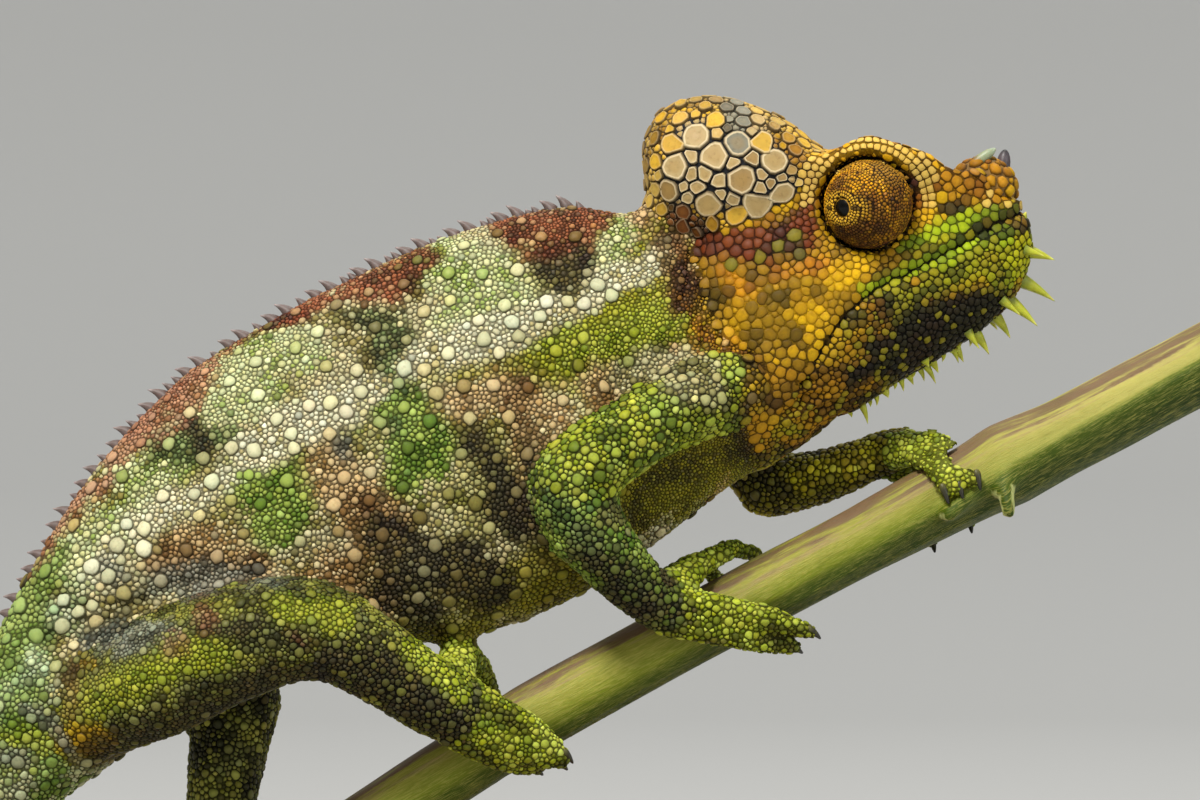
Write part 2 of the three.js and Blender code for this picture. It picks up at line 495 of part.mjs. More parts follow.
// ---- stand ----
const plan = new THREE.Shape();
const [hx, hy] = [BASE.length / 2 - BASE.bevel, BASE.width / 2 - BASE.bevel];
const c = BASE.corner;
plan.moveTo(-hx + c, -hy);
plan.lineTo(hx - c, -hy).quadraticCurveTo(hx, -hy, hx, -hy + c).lineTo(hx, hy - c).quadraticCurveTo(hx, hy, hx - c, hy);
plan.lineTo(-hx + c, hy).quadraticCurveTo(-hx, hy, -hx, hy - c).lineTo(-hx, -hy + c).quadraticCurveTo(-hx, -hy, -hx + c, -hy);
const slab = solid(
  new THREE.ExtrudeGeometry(plan, {
    depth: BASE.height - 2 * BASE.bevel,
    bevelEnabled: true,
    bevelThickness: BASE.bevel,
    bevelSize: BASE.bevel,
    bevelSegments: 2,
    curveSegments: 4,
  }).translate(0, 0, BASE.bevel),
);
const upright = (radius, from, to, sides = 16) =>
  solid(
    new THREE.CylinderGeometry(radius, radius, to - from, sides)
      .rotateX(Math.PI / 2)
      .translate(ROD.x, 0, (from + to) / 2),
  );
const sink = 4; // how far the rod goes into the base
add("stand_base", cutBy(slab, upright(ROD.radius + GAP, BASE.height - sink - GAP, BASE.height + 5)), 0x4a2f1c, 0.45);
const ferrule = upright(ROD.collarRadius, BASE.height + GAP, BASE.height + GAP + ROD.collarHeight);
add("stand_collar", cutBy(ferrule, upright(ROD.radius + GAP, BASE.height - 1, BASE.height + 9)), 0xb08d4a, 0.3, 1);
add("stand_rod", cutBy(upright(ROD.radius, BASE.height - sink, 45), stem(GAP)), 0xb08d4a, 0.3, 1);

export default model;
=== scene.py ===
"""A life-size horned mountain chameleon gripping a short cut stem, on a rod over a wooden base.

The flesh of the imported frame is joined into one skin, which is carved with folds and covered with
scales: granules, round tubercles, rimmed plates on the casque, lip shields and rings of grains on
the eye turrets. Eyes, claws, horn, spines, stem and stand are pieces of their own.
Lengths are in millimetres until a mesh is made; Blender's meshes are in metres.
"""
import math

import bpy
import numpy as np
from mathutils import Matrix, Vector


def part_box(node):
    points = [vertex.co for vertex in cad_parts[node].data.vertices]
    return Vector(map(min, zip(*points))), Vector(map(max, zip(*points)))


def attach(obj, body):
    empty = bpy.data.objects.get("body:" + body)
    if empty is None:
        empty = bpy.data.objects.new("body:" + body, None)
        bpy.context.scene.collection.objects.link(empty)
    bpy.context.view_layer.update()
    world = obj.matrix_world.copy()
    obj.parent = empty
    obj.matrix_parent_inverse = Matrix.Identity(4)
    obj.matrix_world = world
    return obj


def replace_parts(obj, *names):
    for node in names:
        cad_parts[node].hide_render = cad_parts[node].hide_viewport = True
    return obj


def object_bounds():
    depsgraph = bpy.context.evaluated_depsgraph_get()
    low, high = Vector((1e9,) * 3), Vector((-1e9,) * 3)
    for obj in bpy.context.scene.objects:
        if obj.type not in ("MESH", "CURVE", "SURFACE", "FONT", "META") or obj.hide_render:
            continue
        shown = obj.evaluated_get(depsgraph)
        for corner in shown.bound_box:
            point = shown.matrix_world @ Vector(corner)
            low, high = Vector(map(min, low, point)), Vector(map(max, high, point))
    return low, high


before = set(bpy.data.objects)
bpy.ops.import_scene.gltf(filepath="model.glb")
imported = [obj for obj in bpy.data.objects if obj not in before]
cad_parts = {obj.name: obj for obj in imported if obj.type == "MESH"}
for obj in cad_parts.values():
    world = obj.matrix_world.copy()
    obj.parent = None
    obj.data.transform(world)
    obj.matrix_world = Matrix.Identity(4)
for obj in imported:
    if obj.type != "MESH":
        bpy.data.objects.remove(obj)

import openvdb as vdb
from mathutils import Vector
from mathutils.bvhtree import BVHTree
from mathutils.kdtree import KDTree

CAD_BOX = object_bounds()
MM = 0.001
VOXEL = 0.4
BAND = 3.4
GRID = vdb.createLinearTransform(voxelSize=VOXEL)
RANDOM = np.random.default_rng(29)
chance = RANDOM.random

TAIL = ("tail_base", "tail_second", "tail_third", "tail_fourth", "tail_fifth", "tail_tip")
SIDES = ("right", "left")
SIGN = {"right": -1, "left": 1}
ARM = ("upper_arm", "forearm")
LEG = ("thigh", "shank")
TOES = ("outer", "inner")
BODY = ("trunk", "neck", "tail_base")
RUMP = ("tail_base", "tail_second", "thigh")
FACE = ("head", "jaw")
CHEST = ("trunk", "neck")
FAR_ARM = ("upper_arm_left", "forearm_left")
HEAD = ("head", "jaw", "casque", "rostral_horn")
NAPE = ("neck", "trunk", "head")
GORGE = (*NAPE, "jaw")


# ---- the frame's solids

def node_mesh(name):
    """Vertices, in millimetres, and triangles of a node of the frame."""
    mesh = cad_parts[name].data
    mesh.calc_loop_triangles()
    points = np.empty(len(mesh.vertices) * 3, np.float32)
    mesh.vertices.foreach_get("co", points)
    triangles = np.empty(len(mesh.loop_triangles) * 3, np.int32)
    mesh.loop_triangles.foreach_get("vertices", triangles)
    return points.reshape(-1, 3) / MM, triangles.reshape(-1, 3)


def joined(names):
    """Several nodes as one list of points and triangles, with the node of each triangle."""
    points, triangles, owner, count = [], [], [], 0
    for index, name in enumerate(names):
        node_points, node_triangles = node_mesh(name)
        points.append(node_points)
        triangles.append(node_triangles + count)
        owner.append(np.full(len(node_triangles), index))
        count += len(node_points)
    return np.concatenate(points), np.concatenate(triangles), np.concatenate(owner)


def middle(name):
    low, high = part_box(name)
    return np.array((low + high) / 2) / MM


def unit(vector):
    vector = np.asarray(vector, float)
    return vector / np.linalg.norm(vector, axis=-1, keepdims=True)


def at(*place):
    """A place or a direction as an array."""
    return np.array(place)


def length(vectors):
    return np.linalg.norm(vectors, axis=-1)


def dots(first, second):
    """The product of each two vectors."""
    return np.einsum("ij,ij->i", first, second)


def tangents(normals):
    """Two directions along the skin at each normal."""
    aid = np.where(np.abs(normals[:, 2:3]) < 0.9, (0, 0, 1), (1, 0, 0))
    first = unit(np.cross(aid, normals))
    return first, np.cross(normals, first)


def square_to(direction):
    """Two unit vectors square to one direction."""
    first, second = tangents(unit(direction)[None])
    return first[0], second[0]


def even_turns(count):
    """Angles that share a whole turn evenly."""
    return np.arange(count) * 2 * math.pi / count


def circle(first, second, turns):
    """Points at these turns of the unit circle that two directions span."""
    return first * np.cos(turns)[:, None] + second * np.sin(turns)[:, None]


def flat_circle(turns):
    return np.c_[np.cos(turns), np.sin(turns)]


def at_height(flat, height):
    """Points of the plane raised to one height."""
    return np.c_[flat, np.full(len(flat), height)]


def face_tree(points, faces):
    return BVHTree.FromPolygons(points.tolist(), faces.tolist())


def point_tree(points):
    tree = KDTree(len(points))
    for index, point in enumerate(points.tolist()):
        tree.insert(point, index)
    tree.balance()
    return tree


def nearest(tree, points):
    """The nearest points of a face_tree, with the faces they are on."""
    hits = [tree.find_nearest(point) for point in points.tolist()]
    return np.array([hit[0] for hit in hits]), np.array([hit[2] for hit in hits])


def halved(quads):
    """Two triangles for each row of four corners."""
    return np.concatenate([quads[:, [0, 1, 2]], quads[:, [0, 2, 3]]])


def corner_weights(corners, points):
    """What the three corners of triangles weigh at points on them."""
    a, b, c = corners.swapaxes(0, 1)
    whole = np.cross(b - a, c - a)
    size = np.maximum(dots(whole, whole), 1e-12)
    second = dots(np.cross(c - points, a - points), whole) / size
    third = dots(np.cross(a - points, b - points), whole) / size
    return np.clip(np.c_[1 - second - third, second, third], 0, 1)[:, :, None]


def placed(name, data):
    """A new object in the scene."""
    thing = bpy.data.objects.new(name, data)
    bpy.context.scene.collection.objects.link(thing)
    return thing


def picked(thing):
    """Makes an object the active and selected one."""
    bpy.context.view_layer.objects.active = thing
    thing.select_set(True)


def ball_centre(name):
    """Centre and radius of the sphere that most of a node's points lie on."""
    points = node_mesh(name)[0].astype(float)
    kept = points
    for _ in range(8):
        rows = np.c_[2 * kept, np.ones(len(kept))]
        answer = np.linalg.lstsq(rows, (kept ** 2).sum(1), rcond=None)[0]
        centre = answer[:3]
        radius = math.sqrt(answer[3] + centre @ centre)
        miss = np.abs(length(points - centre) - radius)
        kept = points[miss <= max(np.quantile(miss, 0.6), 0.02)]
    return centre, radius


# ---- signed distances

def voxel_box(points, margin=BAND + 1):
    low = np.floor((points.min(0) - margin) / VOXEL).astype(int)
    high = np.ceil((points.max(0) + margin) / VOXEL).astype(int)
    return low, tuple(high - low)


def distances(points, faces, box):
    """Signed distance from a closed surface at every voxel of a box."""
    kind = "triangles" if faces.shape[1] == 3 else "quads"
    shell = {kind: faces.astype(np.uint32)}
    grid = vdb.FloatGrid.createLevelSetFromPolygons(
        points.astype(np.float32), transform=GRID, halfWidth=BAND / VOXEL, **shell)
    values = np.empty(box[1], np.float32)
    grid.copyToArray(values, ijk=tuple(box[0].tolist()))
    return values


def surface(values, box, level=0.0, step=1):
    """Points and quads where the distances reach a level; step skips voxels."""
    grid = vdb.FloatGrid(BAND)
    grid.copyFromArray(np.ascontiguousarray(values[::step, ::step, ::step]), ijk=(0, 0, 0))
    grid.gridClass = vdb.GridClass.LEVEL_SET
    points, quads = grid.convertToQuads(level)
    return (points * step + box[0]) * VOXEL, quads


def blurred(values, reach):
    """The distances after a round blur, which softens facets and edges."""
    spread = reach / VOXEL
    count = int(math.ceil(2.5 * spread))
    weights = np.exp(-0.5 * (np.arange(-count, count + 1) / spread) ** 2)
    weights /= weights.sum()
    for axis in range(3):
        total = np.zeros_like(values)
        for shift, weight in zip(range(-count, count + 1), weights):
            total += np.float32(weight) * np.roll(values, shift, axis=axis)
        values = total
    return values


def soft_union(first, second, blend):
    """Union of two solids with a fillet about blend wide."""
    near = np.maximum(blend - np.abs(first - second), 0) / blend
    return np.minimum(first, second) - near * near * blend * 0.25


def filled(values, box, reach):
    """The solid with its clefts filled up to twice the reach wide, or below 0 its spines cut off."""
    return distances(*surface(values, box, reach), box) + reach


def closed(names, grow=0.24):
    """Distances from several nodes with the thin gaps between them filled, and their box."""
    points, triangles, _ = joined(names)
    box = voxel_box(points)
    return filled(distances(points, triangles, box), box, grow), box


def window(inner, box):
    """Where an inner box lies in the voxels of another."""
    return tuple(slice(a, a + n) for a, n in zip(inner[0] - box[0], inner[1]))


def voxel_points(box):
    """Coordinates of a box's voxels, as three arrays that broadcast."""
    return np.meshgrid(*[(np.arange(n) + low) * VOXEL for low, n in zip(*box)],
                       indexing="ij", sparse=True)


def sampled(values, box, points):
    """The distances at any points, between voxels."""
    place = points / VOXEL - box[0]
    place = np.clip(place, 0, np.array(box[1]) - 1.001)
    base = np.floor(place).astype(int)
    part = place - base
    total = np.zeros(len(points))
    for step in np.ndindex(2, 2, 2):
        weight = np.prod(np.where(step, part, 1 - part), axis=1)
        i, j, k = (base + step).T
        total += weight * values[i, j, k]
    return total


# ---- random texture

def noise(points, size, seed=0):
    """Smooth random values from 0 to 1 whose lumps are about size across."""
    place = np.asarray(points, float) / size + seed * 17.3
    base = np.floor(place).astype(np.int64)
    part = place - base
    part = part * part * (3 - 2 * part)
    total = np.zeros(len(place))
    for step in np.ndindex(2, 2, 2):
        mixed = (base + step) @ np.array([73856093, 19349663, 83492791])
        mixed = (mixed ^ (mixed >> 13)) * 1274126177
        mixed = (mixed ^ (mixed >> 16)) & 0xFFFF
        total += np.prod(np.where(step, part, 1 - part), axis=1) * mixed / 65535
    return total


def clouds(points, size, seed=0):
    """Noise in three sizes, from 0 to 1."""
    return (4 * noise(points, size, seed) + 2 * noise(points, size / 2, seed + 1)
            + noise(points, size / 4, seed + 2)) / 7


def eased(value, low, high):
    """0 below low, 1 above high, smooth between."""
    share = np.clip((value - low) / (high - low), 0, 1)
    return share * share * (3 - 2 * share)


def stroke_distance(flat, *strokes):
    """Distance in the side view from chains of (x, z, radius) stations, less their radius."""
    best = np.full(len(flat), 1e3)
    for stroke in strokes:
        for (x0, z0, r0), (x1, z1, r1) in zip(stroke, stroke[1:] or stroke):
            start = at(x0, z0)
            run = at(x1, z1) - start
            share = np.clip((flat - start) @ run / max(run @ run, 1e-9), 0, 1)
            gap = length(flat - start - share[:, None] * run)
            best = np.minimum(best, gap - (r0 + share * (r1 - r0)))
    return best


# ---- the skin

TURRET = {side: ball_centre("eye_turret_" + side) for side in SIDES}
EYE = {side: middle("eye_" + side) for side in SIDES}
GAZE = {side: unit(EYE[side] - TURRET[side][0]) for side in SIDES}
TURRETS = [(side, *TURRET[side], GAZE[side]) for side in SIDES]
PUPIL_HOLE = 0.8
TURRET_COAT = 0.1
# For each part: how far its facets are softened, and how deep its coat of scales is.
SOFTENING = {"body": (1.1, 0.2), "tail": (0.34, 0.14), "head": (0.5, 0.12), "horn": (0.4, 0.5),
             "limb": (0.5, 0.14), "foot": (0.26, 0.1)}

HORN = "rostral_horn"
FLESH = [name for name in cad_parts
         if not name.startswith(("claw_", "eye_right", "eye_left", "perch_", "stand_", HORN))]
COVERED = [*FLESH, HORN]
CLAWS = [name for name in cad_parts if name.startswith("claw_")]


def softened(values, part):
    reach, depth = SOFTENING[part]
    return blurred(values, reach) + depth


def limb_solid(side, names, foot):
    """One arm or leg with its foot, as distances in a box."""
    upper = [f"{name}_{side}" for name in names]
    toes = [f"{foot}_{side}_{bundle}" for bundle in TOES]
    points, _, _ = joined(upper + toes)
    box = voxel_box(points)

    def part(names, kind):
        values, own = closed(names)
        whole = np.full(box[1], BAND, np.float32)
        whole[window(own, box)] = softened(values, kind)
        return whole

    return soft_union(part(upper, "limb"), part(toes, "foot"), 1.9), box


# How thick a toe's end is, as a radius.
TOE_END = 0.52


def toe_ends():
    """A short straight run of each toe into its claw: where it starts and ends."""
    ends = []
    for name in CLAWS:
        limb, side = name.split("_")[1:3]
        foot = joined([node for node in FLESH if node.startswith(f"{limb}foot_{side}")])[0]
        claw_middle = middle(name)
        near = foot[length(foot - claw_middle) < 2.2].mean(0)
        ends.append((near + (near - claw_middle) * 0.6, near + (claw_middle - near) * 0.6))
    return ends


def with_turret(whole, spots, centre, radius, gaze):
    """The solid with an eye turret's ball in it, a moat round the ball and a hole for the pupil."""
    away = [axis - middle for axis, middle in zip(spots, centre)]
    from_centre = np.sqrt(away[0] ** 2 + away[1] ** 2 + away[2] ** 2)
    along = away[0] * gaze[0] + away[1] * gaze[1] + away[2] * gaze[2]
    # the moat is wider over the eye than under it
    over = np.clip(away[2] / radius, -0.4, 1)
    moat = np.abs(from_centre - radius - 0.2 - 0.04 * over) - (0.16 + 0.03 * over)
    outside = (along > -0.6) & (from_centre < radius + 1.2)
    carved = np.where(outside, np.maximum(whole, -moat), whole)
    ball = from_centre - (radius - TURRET_COAT)
    whole = np.minimum(carved, np.maximum(ball, -BAND)).astype(np.float32)
    across = np.sqrt(np.maximum(from_centre ** 2 - along ** 2, 0))
    hole = np.maximum(across - PUPIL_HOLE, radius - 1.5 - along)
    return np.maximum(whole, -np.maximum(hole, -BAND)).astype(np.float32)


def build_skin():
    """The skin's points and quads, a coarse copy of them, and the body and jaw without their spines."""
    flesh_points, _, _ = joined(FLESH)
    box = voxel_box(flesh_points)
    whole = np.full(box[1], BAND, np.float32)

    def add(values, own, blend):
        place = window(own, box)
        whole[place] = soft_union(whole[place], values, blend)

    body, own = closed(BODY)
    bare_body = (filled(body, own, -0.6), own)
    add(softened(bare_body[0], "body"), own, 0.1)
    tail, own = closed(TAIL)
    add(softened(tail, "tail"), own, 0.8)
    skull, own = closed(["head", "casque", "jaw"])
    jaw = distances(*joined(["jaw"])[:2], own)
    bare_jaw = (filled(jaw, own, -0.5), own)
    upper = distances(*joined(["head", "casque"])[:2], own)
    skull = np.maximum(skull, np.minimum(upper, bare_jaw[0]) - 0.35)
    add(softened(skull, "head"), own, 1.6)
    # the clefts between body and head are filled before the horn and the limbs join them
    whole = filled(whole, box, 1.1)
    horn, own = closed([HORN])
    add(softened(horn, "horn"), own, 1.8)
    for side in SIDES:
        add(*limb_solid(side, ARM, "forefoot"), 3)
        add(*limb_solid(side, LEG, "hindfoot"), 2.4)
    for start, end in toe_ends():
        own = voxel_box(np.array([start, end]))
        grid = np.stack(np.broadcast_arrays(*voxel_points(own)), -1) - start
        run = end - start
        share = np.clip(grid @ run / (run @ run), 0, 1)
        gap = length(grid - share[..., None] * run)
        add(np.minimum(gap - TOE_END, BAND).astype(np.float32), own, 0.5)
    spots = voxel_points(box)
    for side, *turret in TURRETS:
        whole = with_turret(whole, spots, *turret)
    points, quads = surface(whole, box)
    coarse = surface(whole, box, step=3)
    return points, quads, coarse, bare_body, bare_jaw


def point_normals(points, faces):
    """Unit normals of a mesh's points, from its quads or triangles."""
    first = points[faces[:, 2]] - points[faces[:, 0]]
    second = points[faces[:, -1]] - points[faces[:, 1]]
    face_normals = np.cross(first, second)
    total = np.zeros((len(points), 3))
    for column in faces.T:
        for axis in range(3):
            total[:, axis] += np.bincount(column, face_normals[:, axis], len(points))
    return total / np.maximum(np.linalg.norm(total, axis=1, keepdims=True), 1e-9)


def facing_out(points, faces):
    """The faces round a shape's middle, turned over if they look toward it."""
    centre = points.mean(0)
    a, b, c = (points[faces[:, k]] - centre for k in range(3))
    outward = dots(np.cross(b - a, c - a), a + b + c).sum()
    return faces if outward > 0 else faces[:, ::-1]


skin_points, skin_quads, coarse_skin, BARE_BODY, BARE_JAW = build_skin()
skin_quads = facing_out(skin_points, skin_quads)
skin_normals = point_normals(skin_points, skin_quads)

flesh_points, flesh_triangles, flesh_owner = joined(FLESH)
flesh_tree = face_tree(flesh_points, flesh_triangles)


def nearest_nodes(points):
    """Index in FLESH of the node nearest to each point."""
    return flesh_owner[nearest(flesh_tree, points)[1]]


skin_part = nearest_nodes(skin_points)


def is_part(parts, starts):
    """Which entries of a list of places in COVERED belong to nodes whose names start like this."""
    chosen = [index for index, name in enumerate(COVERED) if name.startswith(starts)]
    return np.isin(parts, chosen)


# ---- folds

head_field = closed(["head"])
jaw_field = closed(["jaw"])
MOUTH_CORNER = 31.2


def mouth_height(points):
    """Height over the mouth line, in millimetres, on the head and the jaw."""
    over = sampled(*jaw_field, points) - sampled(*head_field, points)
    return over / 2


# Groups of parallel wrinkles: where they lie, their run across (x, z), spacing and depth.
WRINKLES = (
    # in front of and behind the shoulder
    (CHEST, ((13, 80, 2.5), (17, 77, 3), (19, 74, 2)), (0.96, 0.28), 1.5, 0.24),
    (CHEST, ((21, 90, 1.6), (21.5, 86, 2.2), (23, 82, 2)), (0.95, -0.2), 1.3, 0.3),
    # throat, following the angle of the jaw
    (("neck", "jaw", "trunk"), ((27, 80, 2.4), (30, 77, 2.6), (33, 74.5, 2)), (-0.45, 0.9), 1.35, 0.26),
    # groin, running up from the thigh
    (("trunk", "tail_base"), ((-33, 58, 2.2), (-27, 58.5, 2.4), (-21, 60, 2.2)), (-0.25, 0.97), 1.25, 0.14),
)

# Single creases in the side view: parts, stations (x, z), width and depth.
CREASES = (
    (NAPE, ((22.5, 93.5), (21.5, 90), (22.6, 85.6), (25.2, 81.5), (27.5, 78)), 0.8, 0.5),
    (CHEST, ((19.2, 77.6), (17.6, 74.6), (17.4, 71)), 0.7, 0.45),
    ("trunk", ((15.6, 79.2), (14, 76), (13.6, 72.6)), 0.6, 0.35),
    (("trunk", "tail_base"), ((-35, 55.5), (-30, 57.2), (-25.5, 59.5), (-20, 61.3)), 0.7, 0.4),
    (("jaw", "neck"), ((31.4, 81.4), (30.3, 79.2), (30.8, 76.2)), 0.6, 0.3),
)


# Hollows in the side view: parts, centre (x, z), radius and depth.
HOLLOWS = (
    ("head", (43.6, 97.2), 1.7, 0.8),
    (("head", "casque"), (32.4, 98.4), 1.2, 0.45),
    ("head", (41.2, 93.4), 1.2, 0.35),
    (CHEST, (19.6, 79.4), 1.6, 0.35),
)


def fold_depth(points, parts):
    """How far the skin sinks at each point, in millimetres."""
    flat = points[:, [0, 2]]
    sink = np.zeros(len(points))
    for names, stroke, across, spacing, depth in WRINKLES:
        inside = is_part(parts, names) * eased(-stroke_distance(flat, stroke), -0.8, 1.4)
        wander = (clouds(points, 4, 5) - 0.5) * 2.2
        wave = np.sin((flat @ np.array(across) + wander) * 2 * math.pi / spacing)
        sink += inside * depth * (0.5 - 0.5 * wave) * 2
    for names, stations, width, depth in CREASES:
        wander = (clouds(points, 2.5, 9) - 0.5) * 0.9
        gap = stroke_distance(flat, [(x, z, 0) for x, z in stations]) + wander
        sink += is_part(parts, names) * depth * np.exp(-(gap / width) ** 2)
    for names, centre, radius, depth in HOLLOWS:
        gap = length(flat - np.array(centre))
        sink += is_part(parts, names) * depth * np.exp(-(gap / radius) ** 2)
    mouth = mouth_height(points)
    face = is_part(parts, FACE) * eased(points[:, 0], MOUTH_CORNER - 0.6, MOUTH_CORNER + 1)
    sink += face * 0.45 * np.exp(-(mouth / 0.3) ** 2)
    sink -= face * 0.14 * np.exp(-((np.abs(mouth) - 0.7) / 0.5) ** 2)
    sink += (clouds(points, 3, 3) - 0.5) * 0.16 * ~is_part(parts, "eye_turret")
    return sink


skin_points = skin_points - skin_normals * fold_depth(skin_points, skin_part)[:, None]


# ---- the horn's knob

HORN_DETAIL = 2


def fine_solid(name, soft, depth):
    """Points and quads of a small node's softened shape, from voxels finer by HORN_DETAIL."""
    points, triangles = node_mesh(name)
    points = points * HORN_DETAIL
    box = voxel_box(points)
    values = distances(points, triangles, box)
    rounded, quads = surface(blurred(values, soft * HORN_DETAIL) + depth * HORN_DETAIL, box)
    return rounded / HORN_DETAIL, quads


horn_points, horn_quads = fine_solid(HORN, 0.3, 0.1)
horn_quads = facing_out(horn_points, horn_quads)

# All that scales grow on: the skin, then the horn's knob.
cover_quads = np.concatenate([skin_quads, horn_quads + len(skin_points)])
cover_points = np.concatenate([skin_points, horn_points])
cover_part = np.concatenate([skin_part, np.full(len(horn_points), COVERED.index(HORN))])
cover_normals = point_normals(cover_points, cover_quads)
cover_triangles = halved(cover_quads)
cover_tree = face_tree(cover_points, cover_triangles)


# ---- colours and markings

def shade(code):
    """A colour in linear light from its usual six figures."""
    values = np.array([int(code[k:k + 2], 16) for k in (1, 3, 5)]) / 255
    return np.where(values <= 0.04045, values / 12.92, ((values + 0.055) / 1.055) ** 2.4)


def tone(main, second, share):
    """Two shades of one marking; share says how readily the second shows."""
    return shade(main), shade(second), share


def lay(colours, tint, amount):
    return colours + (tint - colours) * amount[:, None]


RUST = tone("#7d4b37", "#4a291c", 0.47)
DARK_RUST = tone("#5d3022", "#34190f", 0.46)
SALMON = tone("#99705a", "#623d2c", 0.42)
COAL = tone("#1d1912", "#4a432b", 0.4)
PALE_GREEN = tone("#b3b87c", "#7f8e4c", 0.43)
LEAF = tone("#8f9536", "#5f6a20", 0.46)
FERN = tone("#7e8f45", "#4a5f2a", 0.47)
FOREST = tone("#55643f", "#2a3020", 0.46)
OLIVE = tone("#84822e", "#51501c", 0.46)
TAN = tone("#a98f66", "#6b5235", 0.44)
UMBER = tone("#7d6244", "#3f2c1b", 0.46)
DRAB = tone("#96905f", "#666337", 0.44)
STRAW = tone("#aaa177", "#746a42", 0.43)
CREAM = tone("#c8c299", "#9b9265", 0.42)
MINT = tone("#b6c49a", "#82926a", 0.44)
ASH = tone("#a09a74", "#625d40", 0.44)
SLATE = tone("#75776c", "#40423a", 0.45)
BELLY = tone("#6f6a2c", "#423c12", 0.45)
HIP = tone("#9a9c75", "#62664a", 0.44)
LIME = tone("#a4ae34", "#5f6818", 0.45)
YELLOW = tone("#bd9b06", "#8f7105", 0.42)
AMBER = tone("#9c7d06", "#5c4a04", 0.46)
ORANGE = tone("#a77207", "#694305", 0.44)
GOLD = tone("#c29a3c", "#87601a", 0.44)
SNOUT = tone("#9c7420", "#6a460f", 0.44)
MAROON = tone("#56290c", "#2d1304", 0.52)
BONE = tone("#a6916a", "#8a7450", 0.44)
HONEY = tone("#b0924e", "#80642c", 0.44)
LIP_GREEN = tone("#8d9c48", "#5c6a24", 0.44)
JAW_OLIVE = tone("#7d7820", "#3d3a0e", 0.48)
SOOT = tone("#0e0c06", "#22210b", 0.4)
LID_BROWN = tone("#b8841c", "#6f4912", 0.46)
LID_DARK = tone("#6a4a1a", "#2e1e0b", 0.47)
THROAT = tone("#8d6c10", "#402f07", 0.48)
ARM_GREEN = tone("#8e9b48", "#4a5716", 0.45)
MEADOW = tone("#7f9150", "#4e5f2e", 0.46)
MOSS = tone("#7c7c40", "#3a3a19", 0.48)
FAR_OLIVE = tone("#b3aa1e", "#776c10", 0.44)
GREY_GREEN = tone("#6a6337", "#4b4425", 0.4)
BREAST = tone("#67620f", "#3d3908", 0.44)
BRONZE = tone("#796106", "#463a03", 0.46)
DUSK = tone("#5b5c38", "#26260f", 0.47)
INK = shade("#0d0b07")

# Each part's two grounds and the size of the clouds they make.
GROUNDS = (
    ("trunk", DRAB, STRAW, 5),
    ("tail_base", MEADOW, HIP, 3.5),
    (TAIL[1:], MEADOW, OLIVE, 4),
    ("neck", OLIVE, TAN, 3),
    ("head", YELLOW, AMBER, 2.4),
    ("jaw", JAW_OLIVE, THROAT, 2.2),
    ("casque", HONEY, GOLD, 4),
    ("eye_turret", LID_BROWN, LID_DARK, 1.3),
    (HORN, SNOUT, HONEY, 2),
    ("upper_arm", ARM_GREEN, LEAF, 2.4),
    ("forearm", FERN, DUSK, 2.6),
    ("forefoot", LIME, LEAF, 1.8),
    (FAR_ARM, FAR_OLIVE, BREAST, 3),
    ("thigh", MOSS, DUSK, 2.4),
    ("shank", DUSK, MOSS, 2.2),
    ("hindfoot", LIME, LEAF, 1.8),
)

